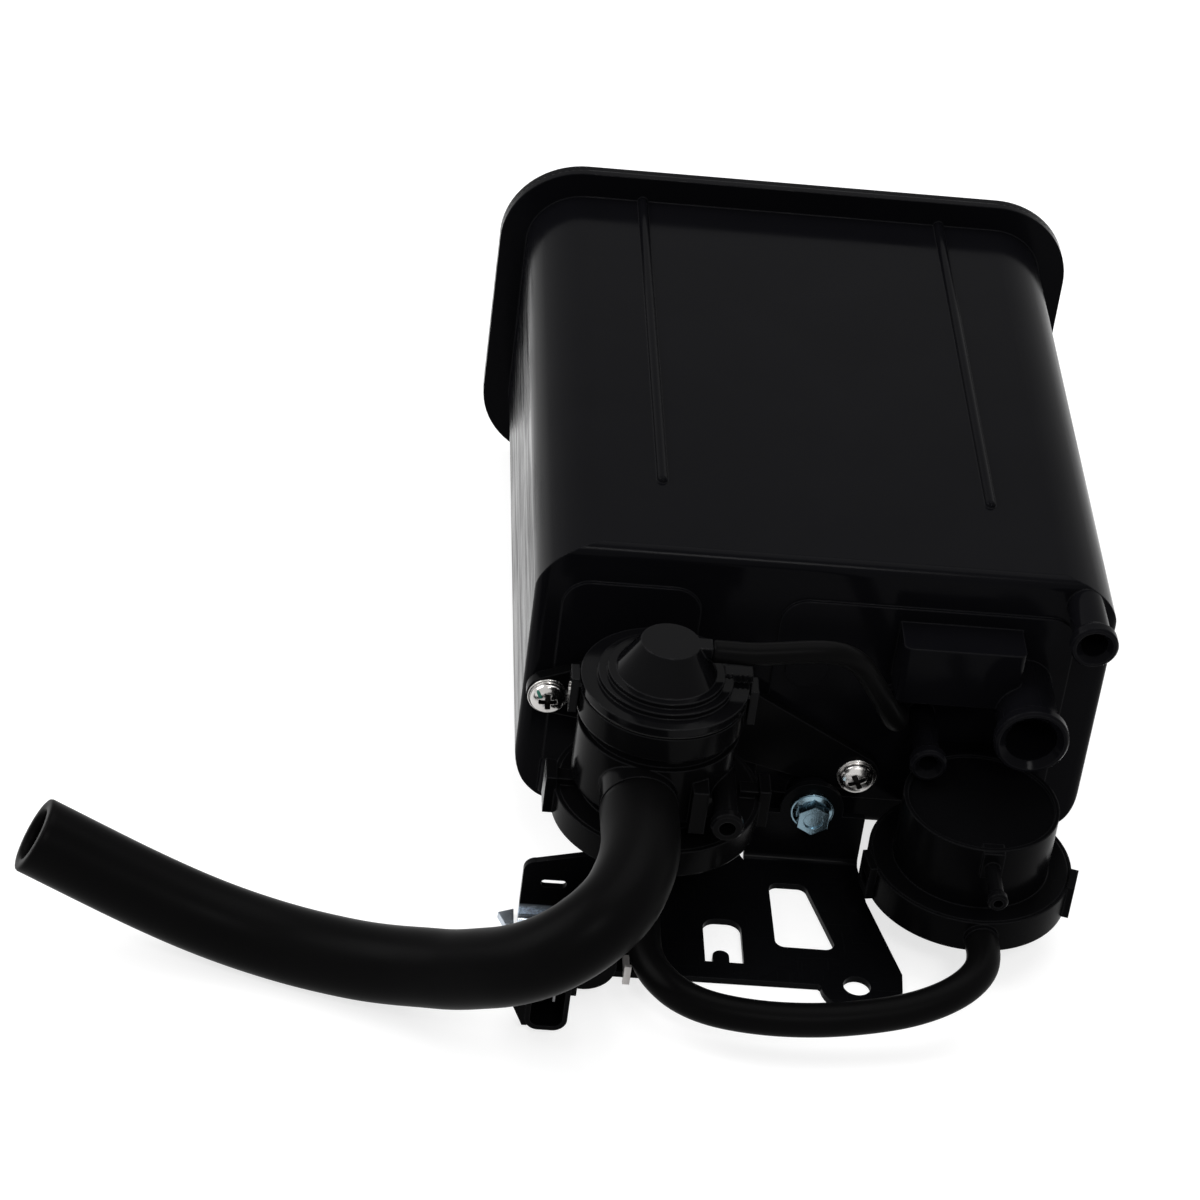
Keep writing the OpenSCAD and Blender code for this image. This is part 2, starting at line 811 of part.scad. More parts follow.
module valve_base_cap() {
    leg_t = 3.6;
    leg_x = base_cap_r - 0.8 + leg_t / 2;
    color(black)
        place()
            difference() {
                union() {
                    z_rod(base_cap_x, vy, base_cap_r, base_bottom, bowl_z + bowl_floor_h);
                    for (s = [-1, 1])
                        box(base_cap_x + s * leg_x - leg_t / 2, base_cap_x + s * leg_x + leg_t / 2,
                            vy - 5, vy + 5, base_bottom, bowl_z + 8);
                }
                z_rod(base_cap_x, vy, base_cap_r - 1.5 + fit_gap, bowl_z, bowl_z + 20);
                z_rod(base_cap_x, vy, base_cap_r - 4.5, base_bottom + 2, bowl_z + 1);
                for (s = [-1, 1])
                    box(base_cap_x + s * leg_x - leg_t, base_cap_x + s * leg_x + leg_t,
                        vy - 3, vy + 3, bowl_z + 4.5, bowl_z + 6.5);
            }
}

module valve_base_seal() {
    color(rubber)
        place()
            translate([base_cap_x, vy, bowl_z - 1.2])
                ring(base_cap_r - 6, 1.2);
}

module valve_port_seal() {
    color(rubber)
        place()
            translate([valve_x, wall + 0.9, spigot_z])
                rotate([90, 0, 0])
                    ring(duct_spigot_r - 0.1, 0.9);
}

module pan_screw(s) {
    seat = -mount_front;
    difference() {
        union() {
            y_rod(s[0], s[1], washer_r, seat - washer_t, seat);
            y_rod(s[0], s[1], head_r, seat - washer_t - head_h + 1, seat - washer_t);
            translate([s[0], seat - washer_t - head_h + 1, s[1]])
                rotate([90, 0, 0])
                    cylinder(r1 = head_r, r2 = head_r - 1.4, h = 1);
            y_rod(s[0], s[1], screw_shank_r, seat - 0.5, stand_off - 1.2);
        }
        for (a = [45, -45])
            translate([s[0], seat - washer_t - head_h, s[1]])
                rotate([0, a, 0])
                    cube([6.4, 4, 1.3], center = true);
    }
}

module valve_screws() {
    color(steel)
        place()
            for (s = [screw_l, screw_r])
                pan_screw(s);
}

// Air filter

module filter_cup() {
    color(black)
        place()
            difference() {
                union() {
                    z_rod(cup_x, cy, cup_r, cup_flange_z, cup_top);
                    z_rod(cup_x, cy, cup_flange_r - 1.2, cup_flange_z, cup_flange_z + cup_flange_t);
                    // Foot that hangs on the case's rail
                    box(cup_x - 12, cup_x + 12, cy + cup_r - 6, -panel_raise - run_gap,
                        rail_z0 - 2, rail_z1 + 2.5);
                    // Air nipple at the front of the top
                    y_nipple(cup_x + 1.5, cup_top - 5, 2.5, 3.3, cup_y + cup_r - 3, cup_y + cup_r + 19, 2);
                    box(cup_x - 2, cup_x + 5, cy - cup_r - 1.5, cy - cup_r + 4, cup_top - 9, cup_top + 0.8);
                    // Ridge along the edge of the top
                    difference() {
                        z_rod(cup_x, cy, cup_r, cup_top - 1, cup_top + 1);
                        z_rod(cup_x, cy, cup_r - 1.5, cup_top - 2, cup_top + 2);
                    }
                }
                z_rod(cup_x, cy, cup_r - cup_wall, cup_flange_z - 1, cup_top - cup_wall);
                y_rod(cup_x + 1.5, cup_top - 5, 1.5, -cup_y - cup_r - 20, cy);
                // T-slot in the foot
                box(cup_x - 6 - fit_gap, cup_x + 6 + fit_gap, -8 - fit_gap, 0, rail_z0 - 3, rail_z1);
                box(cup_x - 9 - fit_gap, cup_x + 9 + fit_gap, -8 - fit_gap, -5 + fit_gap, rail_z0 - 3, rail_z1);
            }
}

module filter_element() {
    pleats = 20;
    outer = cup_r - cup_wall - 1.5;
    color(felt)
        place()
            along_z(cup_bottom + 2, cup_top - cup_wall)
                translate([cup_x, cy])
                    difference() {
                        polygon([
                            for (k = [0:2 * pleats - 1])
                                let (a = 180 * k / pleats, r = k % 2 == 0 ? outer : outer - 4)
                                    [r * cos(a), r * sin(a)]
                        ]);
                        circle(r = outer - 9);
                    }
}

module filter_cap() {
    lug_x = cup_flange_r + 0.6;
    rim_z = cup_flange_z + cup_flange_t;
    color(black)
        place()
            difference() {
                union() {
                    z_rod(cup_x, cy, cup_flange_r, cup_bottom, rim_z);
                    y_rod(cup_x + 1, vent_port_z, vent_hose_r, -vent_collar_y, cy - 20);
                    y_rod(cup_x + 1, vent_port_z, vent_nipple_r, -vent_collar_y - vent_nipple_len, cy - 20);
                    for (a = lug_turns)
                        rotate_about(cup_x, cy, a)
                            box(cup_x + lug_x - 1.3, cup_x + lug_x + 1.3, cy - 5, cy + 5, cup_bottom, rim_z + 1);
                }
                z_rod(cup_x, cy, cup_flange_r - 1.2 + fit_gap, cup_flange_z, rim_z + 20);
                z_rod(cup_x, cy, cup_flange_r - 3.2, cup_bottom + 2, cup_flange_z + 1);
                y_rod(cup_x + 1, vent_port_z, vent_nipple_r - port_wall, -vent_collar_y - vent_nipple_len - 1, cy - 15);
                for (a = lug_turns)
                    rotate_about(cup_x, cy, a)
                        box(cup_x + lug_x - 0.6, cup_x + lug_x + 2, cy - 3, cy + 3, cup_bottom + 3, cup_bottom + 7);
            }
}

module filter_seal() {
    color(rubber)
        place()
            translate([cup_x, cy, cup_flange_z - 1.1])
                ring(cup_flange_r - 4.35, 1.1);
}

// Vent solenoid

module connector_outline(inset) {
    w = conn_x1 - conn_x0 - 2 * inset;
    h = conn_z1 - conn_z0 - 2 * inset;
    r = 4.5 - inset;
    translate([(conn_x0 + conn_x1) / 2, (conn_z0 + conn_z1) / 2]) {
        round_rect(w, h, r);
        translate([-w / 2, 0])
            square([w, h / 2]);
    }
}

module solenoid_body() {
    mid_z = (conn_z0 + conn_z1) / 2;
    color(dark)
        place()
            difference() {
                union() {
                    y_rod(coil_x, coil_z, coil_r, -coil_front, -coil_back + 1);
                    y_rod(chamber_x, coil_z + 1, 9.5, -coil_back, -chamber_back);
                    along_y(-conn_front, -coil_front + 12)
                        connector_outline(0);
                    box(coil_x - 8, coil_x + 8, -coil_front + 4, -coil_back, plate_top, coil_z);
                    z_rod(coil_x - 2, -peg_y, peg_r, plate_bottom + 0.2, plate_top + 2);
                    // Vent nipple to the front and link nipple to the back
                    box(chamber_x, vent_x + 5, -coil_back, -chamber_back, coil_z - 5, coil_z + 7);
                    y_rod(vent_x, vent_z, vent_nipple_r, -vent_end_y - vent_nipple_len, -chamber_back);
                    y_rod(vent_x, vent_z, vent_hose_r, -vent_end_y, -chamber_back);
                    y_rod(link_x, link_z, vent_hose_r, -coil_back + 6, -chamber_back + 3);
                    y_rod(link_x, link_z, vent_nipple_r, -coil_back + 6, -chamber_back + 14);
                    // Latch ramp on the left of the socket and a lug on its right
                    along_y(-conn_front + 1, -conn_front + 9)
                        polygon([[conn_x0 + 1, conn_z0 + 0.6], [conn_x0 - 0.6, conn_z0 + 0.6], [conn_x0 - 4.6, mid_z + 0.6],
                                 [conn_x0 - 4.6, mid_z + 4.4], [conn_x0 + 1, mid_z + 4.4]]);
                    box(conn_x1 - 2, conn_x1 + 1.8, -conn_front + 1, -conn_front + 9, conn_z1 - 3.5, conn_z1);
                }
                along_y(-conn_front - 1, -conn_front + conn_depth)
                    connector_outline(conn_wall);
                y_rod(coil_x, coil_z, coil_r - 1.4, -coil_front + 2, -coil_back - 2);
                y_rod(coil_x, coil_z, plunger_r + run_gap, -coil_back - 3, -seat_y);
                y_rod(coil_x, coil_z, 1.6, -seat_y - 1, -chamber_back - 2);
                y_rod(vent_x, vent_z, vent_nipple_r - port_wall, -vent_end_y - vent_nipple_len - 1, -chamber_back - 3);
                y_rod(link_x, link_z, vent_nipple_r - port_wall, -chamber_back - 4, -chamber_back + 15);
                // Passages that join the seat to the two nipples
                x_rod(-chamber_back - 3.5, coil_z, 1.6, coil_x, link_x);
                z_rod(link_x, -chamber_back - 3.5, 1.6, coil_z, link_z);
                x_rod(-seat_y - 1.4, vent_z, 1.4, coil_x + plunger_r - 1, vent_x);
            }
}

module solenoid_coil() {
    color(copper)
        place()
            difference() {
                y_rod(coil_x, coil_z, coil_r - 1.4, -coil_front + 2, -coil_back - 2);
                y_rod(coil_x, coil_z, plunger_r + run_gap, -coil_front + 1, -coil_back - 1);
            }
}

module solenoid_core() {
    color(steel)
        place()
            y_rod(coil_x, coil_z, plunger_r, -coil_front + 2, -coil_front + 10);
}

module solenoid_plunger() {
    color(steel)
        place() {
            difference() {
                y_rod(coil_x, coil_z, plunger_r, -coil_front + 14, -seat_y - run_gap - 1);
                y_rod(coil_x, coil_z, 2.4, -coil_front + 13, -coil_front + 20);
            }
            y_rod(coil_x, coil_z, 2.6, -seat_y - run_gap - 1.2, -seat_y - run_gap);
        }
}

module plunger_spring() {
    color(steel)
        place()
            translate([coil_x, -coil_front + 10, coil_z])
                rotate([-90, 0, 0])
                    coil_spring(1.8, 0.35, 10, 6);
}

module connector_terminals() {
    back = -conn_front + conn_depth;
    mid_x = (conn_x0 + conn_x1) / 2;
    mid_z = (conn_z0 + conn_z1) / 2;
    color(brass)
        place()
            for (s = [-1, 1])
                box(mid_x + s * 2.2 - 0.4, mid_x + s * 2.2 + 0.4, back - 8, back, mid_z - 1.2, mid_z + 1.2);
}

// Bracket

// A quarter bend that turns the plate up into a wall with its back at y
module fold_up(x0, x1, back) {
    zc = plate_bottom + fold_out;
    intersection() {
        difference() {
            x_rod(back - fold_out, zc, fold_out, x0, x1);
            x_rod(back - fold_out, zc, fold_r, x0 - 1, x1 + 1);
        }
        box(x0 - 1, x1 + 1, back - fold_out, back + 1, plate_bottom - 1, zc);
    }
}

tab_x0 = -16;
tab_x1 = 22.3;
wing_x0 = -92.2;
wing_x1 = -68;
wing_back = 50;
wing_top = 17;
front_edge = 75;
slot_x = -27;
slot_y = -50.2;
slot_r = 4.5;
slot_land = 3.6;

module bracket_plate_outline() {
    tab_front = -tab_y - fold_out;
    wing_front = -wing_back - fold_out;
    polygon([
        [tab_x0, tab_front], [tab_x1, tab_front], [23.8, -32], [32.8, -67.5], [32.2, -76], [28.8, -79.5],
        [9.5, -79.5], [4.8, -front_edge], [-90, -front_edge], [-96, -56], [-98.5, -49.5], [-93.4, -47.3],
        [-93.4, wing_front], [wing_x1, wing_front], [-60, -50], [-50, -32], [-34, -17], [-17.5, -11]
    ]);
    translate([hole_x, -hole_y])
        circle(r = 12);
}

module bracket_window() {
    hull()
        for (p = [[-5.2, -28.4], [1.3, -28.4], [8.2, -54.4], [-4.8, -54.3]])
            translate(p)
                circle(r = 3.2);
}

module bracket_slot() {
    translate([-31.5, -67])
        square([12.6, 16.8]);
    translate([slot_x, slot_y - slot_r / 2])
        square([slot_land, slot_r * 1.5]);
    for (x = [slot_x, slot_x + slot_land])
        translate([x, slot_y])
            circle(r = slot_r);
}

module mounting_bracket() {
    zc = plate_bottom + fold_out;
    color(dark)
        place()
            difference() {
                union() {
                    along_z(plate_bottom, plate_top)
                        difference() {
                            bracket_plate_outline();
                            bracket_window();
                            difference() {
                                bracket_slot();
                                translate([-26.3, -64]) {
                                    circle(r = 2.7);
                                    translate([-2.7, -4])
                                        square([5.4, 4]);
                                }
                            }
                        }
                    fold_up(tab_x0, tab_x1, -tab_y);
                    along_y(-tab_y - sheet_t, -tab_y) {
                        translate([tab_x0, zc])
                            square([tab_x1 - tab_x0, 17]);
                        translate([bolt_x - 10.5, zc])
                            square([21, bolt_z - zc]);
                        translate([bolt_x, bolt_z])
                            circle(r = 10.5);
                    }
                    fold_up(wing_x0, wing_x1, -wing_back);
                    along_y(-wing_back - sheet_t, -wing_back) {
                        polygon([[wing_x0, zc], [wing_x1, zc], [wing_x1, wing_top + 5], [wing_x0 + 4, wing_top],
                                 [wing_x0, wing_top - 4]]);
                        translate([wing_x0 + 4, wing_top - 4])
                            circle(r = 4);
                    }
                }
                z_rod(hole_x, -hole_y, hole_r, plate_bottom - 1, plate_top + 1);
                z_rod(coil_x - 2, -peg_y, peg_r + fit_gap, plate_bottom - 1, plate_top + 1);
                y_rod(bolt_x, bolt_z, 3 + run_gap, -tab_y - sheet_t - 1, -tab_y + 1);
                along_y(-wing_back - sheet_t - 1, -wing_back + 1)
                    translate([-82, 8.3])
                        round_rect(8.4, 3, 1.4);
            }
}

module bolt_insert() {
    color(brass)
        place()
            difference() {
                y_rod(bolt_x, bolt_z, 4.2, -tab_y, 1.2);
                y_rod(bolt_x, bolt_z, 3 + fit_gap, -tab_y - 1, 2);
            }
}

module bracket_bolt() {
    seat = -tab_y - sheet_t;
    color(zinc)
        place()
            difference() {
                union() {
                    y_rod(bolt_x, bolt_z, 7.1, seat - 1.4, seat);
                    translate([bolt_x, seat - 1.4, bolt_z])
                        rotate([90, 0, 0])
                            cylinder(r1 = 6.6, r2 = 5.4, h = 0.8);
                    translate([bolt_x, seat - 1.4, bolt_z])
                        rotate([90, 30, 0])
                            cylinder(r = 10 / sqrt(3), h = 5, $fn = 6);
                    y_rod(bolt_x, bolt_z, 3, seat - 1, 0.8);
                }
                y_rod(bolt_x, bolt_z, 3.2, seat - 7, seat - 5.8);
            }
}

module harness_clip() {
    edge = -front_edge;
    color(pale)
        place() {
            box(-58.6, -56.4, edge - 3.6, edge - 2.4, plate_bottom + 0.2, plate_top + 5.2);
            box(-58.6, -56.4, edge - 3.6, edge + 7, plate_top, plate_top + 1.2);
        }
}

// Hoses

module tank_hose() {
    color(rubber)
        place()
            hose(tank_route, tank_hose_r, (spigot_r + fit_gap) / cos(15), 12);
}

module vent_hose() {
    color(rubber)
        place()
            hose(vent_route, vent_hose_r, (vent_nipple_r + fit_gap) / cos(15), 12);
}

module link_hose() {
    color(rubber)
        place()
            difference() {
                y_rod(link_x, link_z, vent_hose_r, -chamber_back + 3, -link_collar);
                y_rod(link_x, link_z, vent_nipple_r + fit_gap, -chamber_back + 2, -link_collar + 1);
            }
}

module signal_hose() {
    color(rubber)
        place()
            hose(signal_route, signal_hose_r, (signal_nipple_r + fit_gap) / cos(15), 12);
}

canister_case();
end_cover();
main_charcoal_bed();
side_charcoal_bed();
main_port_felt();
side_port_felt();
main_end_felt();
side_end_felt();
main_grid();
side_grid();
bed_springs();
valve_body();
valve_cap();
valve_diaphragm();
valve_plate();
valve_spring();
valve_base_cap();
valve_base_seal();
valve_port_seal();
valve_screws();
filter_cup();
filter_element();
filter_cap();
filter_seal();
solenoid_body();
solenoid_coil();
solenoid_core();
solenoid_plunger();
plunger_spring();
connector_terminals();
mounting_bracket();
bracket_bolt();
bolt_insert();
harness_clip();
tank_hose();
vent_hose();
link_hose();
signal_hose();
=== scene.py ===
"""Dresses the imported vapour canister: hoses, springs, diaphragm, screws, finishes, camera and light."""
from __future__ import annotations

import logging
import math
from collections.abc import Callable
from dataclasses import dataclass, field
from enum import Enum

import bmesh
import bpy
from mathutils import Matrix, Vector

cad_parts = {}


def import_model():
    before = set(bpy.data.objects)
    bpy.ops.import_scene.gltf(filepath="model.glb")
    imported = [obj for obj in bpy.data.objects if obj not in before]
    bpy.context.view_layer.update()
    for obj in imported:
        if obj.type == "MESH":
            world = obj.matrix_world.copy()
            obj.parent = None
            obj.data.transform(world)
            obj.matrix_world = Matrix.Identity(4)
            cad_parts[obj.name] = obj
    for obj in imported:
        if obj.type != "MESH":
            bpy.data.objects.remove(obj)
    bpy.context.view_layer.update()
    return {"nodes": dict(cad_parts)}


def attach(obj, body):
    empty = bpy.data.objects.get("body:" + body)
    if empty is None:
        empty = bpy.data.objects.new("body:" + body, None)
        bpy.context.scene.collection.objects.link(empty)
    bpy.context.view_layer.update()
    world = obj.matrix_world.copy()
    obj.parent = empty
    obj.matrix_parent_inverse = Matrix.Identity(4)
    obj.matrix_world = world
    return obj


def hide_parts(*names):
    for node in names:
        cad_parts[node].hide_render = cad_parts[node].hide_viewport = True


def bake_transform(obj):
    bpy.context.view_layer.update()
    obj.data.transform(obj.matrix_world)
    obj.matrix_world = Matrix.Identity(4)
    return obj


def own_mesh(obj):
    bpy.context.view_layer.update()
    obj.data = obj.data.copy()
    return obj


LOG = logging.getLogger("canister")
MM = 0.001
CARRIER = "canister"

# The drawing's case axes are set down with the bracket's mounting hole at the origin
SET_DOWN = Vector((-17.4, 74.4, 9.6))

Point = tuple[float, float, float]
Rgb = tuple[float, float, float]

# What feeds a shader input: another node's output, a number or a colour
Source = bpy.types.NodeSocket | float | Rgb

# Colour laid along sharp edges: partly edge wear, partly a painted highlight standing in for glints on the
# edges
EDGE_WEAR_AND_GLINT_GREY: Rgb = (0.03, 0.03, 0.032)
HAZE_SCALE = 26.0
PIT_SHARE = 0.6
BUMP_STRENGTH = 0.6
BEVEL_SAMPLES = 4
FIBRE_SHEEN = 0.3
FIBRE_SHEEN_ROUGHNESS = 0.5

# Turn and stretch of each of the two lays of scratches
SCRATCH_LAYS = (((0.3, 0.2, 0.5), (1.0, 14.0, 6.0)), ((0.3, 0.2, 2.2), (11.0, 1.0, 7.0)))
# Stretch that draws the noise out along the case's length
STREAK_LAY = (7.0, 0.35, 7.0)

# Edges that turn further than this many degrees stay sharp in the shading
SOLID_CREASE = 28.0
MARK_CREASE = 50.0


def row(point: Point | Vector) -> Vector:
    """Turns a point of the case's axes into the shared frame.

    Args:
        point: Place in the case's own axes, in millimetres.

    Returns:
        The same place in the shared frame, in metres.
    """
    return (Vector(point) + SET_DOWN) * MM


def circle(sides: int) -> list[float]:
    """Angles of equal steps round a full turn, in radians."""
    return [2 * math.pi * k / sides for k in range(sides)]


class Family(Enum):
    """What a finish is made of, which decides the nodes it gets."""

    MOULDED = "moulded"
    RUBBER = "rubber"
    METAL = "metal"
    PAINT = "paint"
    FIBRE = "fibre"
    GRAINS = "grains"


class Effect(Enum):
    """Shared shader node groups."""

    GRAIN = "mould_grain"
    HAZE = "surface_haze"
    EDGES = "soft_edges"
    SCRATCHES = "fine_scratches"
    STREAKS = "drag_streaks"
    BARE = "bare_zone"


class Socket(Enum):
    """Kinds of socket on a shared effect."""

    NUMBER = "NodeSocketFloat"
    VECTOR = "NodeSocketVector"


class NodeTree:
    """Small helper that adds and joins shader nodes in one tree."""

    def __init__(self, tree: bpy.types.NodeTree) -> None:
        """Keeps the tree.

        Args:
            tree: The node tree that new nodes go into.
        """
        self.tree = tree

    def add(self, kind: str, **values: object) -> bpy.types.Node:
        """Adds a node and sets its properties.

        Args:
            kind: Blender's node type.
            values: Properties of the node by name.

        Returns:
            The new node.
        """
        node = self.tree.nodes.new(kind)
        for key, value in values.items():
            setattr(node, key, value)
        return node

    def set(self, node: bpy.types.Node, **values: object) -> bpy.types.Node:
        """Sets unlinked input sockets by name, with _ for a space.

        Args:
            node: The node whose sockets are set.
            values: Socket values by name.

        Returns:
            The same node.
        """
        for key, value in values.items():
            node.inputs[key.replace("_", " ")].default_value = value
        return node

    def join(self, out: bpy.types.NodeSocket, into: bpy.types.NodeSocket) -> None:
        """Links an output to an input."""
        self.tree.links.new(out, into)

    def feed(self, source: Source, into: bpy.types.NodeSocket) -> None:
        """Links a socket to an input, or sets the input to a number or colour.

        Args:
            source: Socket, number or colour.
            into: The input.
        """
        if isinstance(source, bpy.types.NodeSocket):
            self.join(source, into)
        else:
            into.default_value = (*source, 1.0) if isinstance(source, tuple) else source

    def math(self, operation: str, *sources: Source, clamp: bool = False) -> bpy.types.NodeSocket:
        """Works out a number from others.

        Args:
            operation: Blender's name of the operation.
            sources: Sockets or numbers, in the operation's order.
            clamp: True keeps the result between 0 and 1.

        Returns:
            The result.
        """
        node = self.add("ShaderNodeMath", operation=operation, use_clamp=clamp)
        for source, into in zip(sources, node.inputs):
            self.feed(source, into)
        return node.outputs[0]

    def mix(self, share: bpy.types.NodeSocket, below: Source, above: Source) -> bpy.types.NodeSocket:
        """Lays one colour over another.

        Args:
            share: How much of the upper colour shows, from 0 to 1.
            below: The lower colour.
            above: The upper colour.

        Returns:
            The mixed colour.
        """
        node = self.add("ShaderNodeMix", data_type="RGBA")
        self.join(share, node.inputs["Factor"])
        self.feed(below, node.inputs["A"])
        self.feed(above, node.inputs["B"])
        return node.outputs["Result"]

    def spread(self, value: bpy.types.NodeSocket, low: float, high: float) -> bpy.types.Node:
        """Spreads a range of values over 0 to 1.

        Args:
            value: The values.
            low: What becomes 0.
            high: What becomes 1.

        Returns:
            The node, with Result out.
        """
        node = self.set(self.add("ShaderNodeMapRange"), From_Min=low, From_Max=high)
        self.join(value, node.inputs["Value"])
        return node


class EffectLibrary:
    """Builds each shared effect once, as a shader node group with named sockets."""

    def __init__(self) -> None:
        """Starts with no groups built."""
        self.groups: dict[Effect, bpy.types.NodeTree] = {}

    def get(self, effect: Effect) -> bpy.types.NodeTree:
        """Gives an effect's group, built the first time.

        Args:
            effect: Which effect.

        Returns:
            The shader node group.
        """
        if effect not in self.groups:
            makers = {
                Effect.GRAIN: self._grain,
                Effect.HAZE: self._haze,
                Effect.EDGES: self._edges,
                Effect.SCRATCHES: self._scratches,
                Effect.STREAKS: self._streaks,
                Effect.BARE: self._bare,
            }
            self.groups[effect] = makers[effect](effect.value)
        return self.groups[effect]

    @staticmethod
    def _open(
        name: str, inputs: dict[str, float], outputs: dict[str, Socket]
    ) -> tuple[NodeTree, bpy.types.Node, bpy.types.Node]:
        """Starts a group with its sockets.

        Args:
            name: Name of the group.
            inputs: Default of each number that goes in, by name.
            outputs: Kind of each thing that comes out, by name.

        Returns:
            The tree helper, the input node and the output node.
        """
        tree = bpy.data.node_groups.new(name, "ShaderNodeTree")
        for label, default in inputs.items():
            socket = tree.interface.new_socket(name=label, in_out="INPUT", socket_type=Socket.NUMBER.value)
            socket.default_value = default
        for label, kind in outputs.items():
            tree.interface.new_socket(name=label, in_out="OUTPUT", socket_type=kind.value)
        kit = NodeTree(tree)
        return kit, kit.add("NodeGroupInput"), kit.add("NodeGroupOutput")

    @staticmethod
    def _noise(
        kit: NodeTree, start: bpy.types.Node, place: bpy.types.NodeSocket, **values: float
    ) -> bpy.types.NodeSocket:
        """Adds noise at the group's own scale.

        Args:
            kit: The group's tree.
            start: The group's input node, which has a Scale.
            place: Coordinates of the noise.
            values: Other inputs of the noise by name.

        Returns:
            The noise as a number.
        """
        node = kit.set(kit.add("ShaderNodeTexNoise"), **values)
        kit.join(place, node.inputs["Vector"])
        kit.join(start.outputs["Scale"], node.inputs["Scale"])
        return node.outputs["Fac"]

    def _grain(self, name: str) -> bpy.types.NodeTree:
        """Fine eroded texture of a moulding tool.

        Args:
            name: Name of the group.

        Returns:
            The group, with Height out.
        """
        kit, start, end = self._open(name, {"Scale": 900.0}, {"Height": Socket.NUMBER})
        place = kit.add("ShaderNodeTexCoord").outputs["Object"]
        fine = self._noise(kit, start, place, Detail=3.0, Roughness=0.6)
        cells = kit.add("ShaderNodeTexVoronoi", feature="SMOOTH_F1")
        kit.join(place, cells.inputs["Vector"])
        kit.join(start.outputs["Scale"], cells.inputs["Scale"])
        height = kit.math("MULTIPLY_ADD", cells.outputs["Distance"], PIT_SHARE, fine)
        kit.join(height, end.inputs["Height"])
        return kit.tree

    def _haze(self, name: str) -> bpy.types.NodeTree:
        """Slow patches of duller and shinier surface.

        Args:
            name: Name of the group.

        Returns:
            The group, with Roughness and Patches out.
        """
        kit, start, end = self._open(
            name,
            {"Scale": 30.0, "Low": 0.4, "High": 0.6},
            {"Roughness": Socket.NUMBER, "Patches": Socket.NUMBER},
        )
        place = kit.add("ShaderNodeTexCoord").outputs["Object"]
        slow = self._noise(kit, start, place, Detail=5.0, Roughness=0.55, Distortion=0.4)
        rough = kit.spread(slow, low=0.3, high=0.7)
        kit.join(start.outputs["Low"], rough.inputs["To Min"])
        kit.join(start.outputs["High"], rough.inputs["To Max"])
        kit.join(rough.outputs["Result"], end.inputs["Roughness"])
        kit.join(slow, end.inputs["Patches"])
        return kit.tree

    def _edges(self, name: str) -> bpy.types.NodeTree:
        """Rounds sharp edges in the shading, and finds them.

        Args:
            name: Name of the group.

        Returns:
            The group, with Normal and Edge out.
        """
        kit, start, end = self._open(
            name, {"Radius": 0.0005}, {"Normal": Socket.VECTOR, "Edge": Socket.NUMBER}
        )
        soft = kit.add("ShaderNodeBevel", samples=BEVEL_SAMPLES)
        kit.join(start.outputs["Radius"], soft.inputs["Radius"])
        shape = kit.add("ShaderNodeNewGeometry")
        alike = kit.add("ShaderNodeVectorMath", operation="DOT_PRODUCT")
        kit.join(soft.outputs["Normal"], alike.inputs[0])
        kit.join(shape.outputs["Normal"], alike.inputs[1])
        away = kit.spread(alike.outputs["Value"], low=0.99, high=0.8)
        kit.join(soft.outputs["Normal"], end.inputs["Normal"])
        kit.join(away.outputs["Result"], end.inputs["Edge"])
        return kit.tree

    def _scratches(self, name: str) -> bpy.types.NodeTree:
        """Hair-fine lines of handling, in two directions.

        Args:
            name: Name of the group.

        Returns:
            The group, with Mask out.
        """
        kit, start, end = self._open(name, {"Scale": 60.0, "Amount": 0.5}, {"Mask": Socket.NUMBER})
        place = kit.add("ShaderNodeTexCoord").outputs["Object"]
        lines = []
        for turn, stretch in SCRATCH_LAYS:
            lay = kit.set(kit.add("ShaderNodeMapping"), Rotation=turn, Scale=stretch)
            kit.join(place, lay.inputs["Vector"])
            web = self._noise(kit, start, lay.outputs["Vector"], Detail=2.0, Roughness=0.4)
            lines.append(kit.spread(web, low=0.62, high=0.72).outputs["Result"])
        mask = kit.math("MULTIPLY", kit.math("MAXIMUM", *lines), start.outputs["Amount"])
        kit.join(mask, end.inputs["Mask"])
        return kit.tree

    def _streaks(self, name: str) -> bpy.types.NodeTree:
        """Marks that the mould leaves along the case's length as it is drawn off, on upright walls.

        Args:
            name: Name of the group.

        Returns:
            The group, with Mask out.
        """
        kit, start, end = self._open(name, {"Scale": 40.0, "Amount": 0.2}, {"Mask": Socket.NUMBER})
        lay = kit.set(kit.add("ShaderNodeMapping"), Scale=STREAK_LAY)
        kit.join(kit.add("ShaderNodeTexCoord").outputs["Object"], lay.inputs["Vector"])
        lines = self._noise(kit, start, lay.outputs["Vector"], Detail=4.0, Roughness=0.65)
        clear = kit.spread(lines, low=0.4, high=0.66)
        shape = kit.add("ShaderNodeNewGeometry")
        parts = kit.add("ShaderNodeSeparateXYZ")
        kit.join(shape.outputs["Normal"], parts.inputs["Vector"])
        upright = kit.spread(kit.math("ABSOLUTE", parts.outputs["X"]), low=0.5, high=0.9)
        both = kit.math("MULTIPLY", clear.outputs["Result"], upright.outputs["Result"])
        kit.join(kit.math("MULTIPLY", both, start.outputs["Amount"]), end.inputs["Mask"])
        return kit.tree

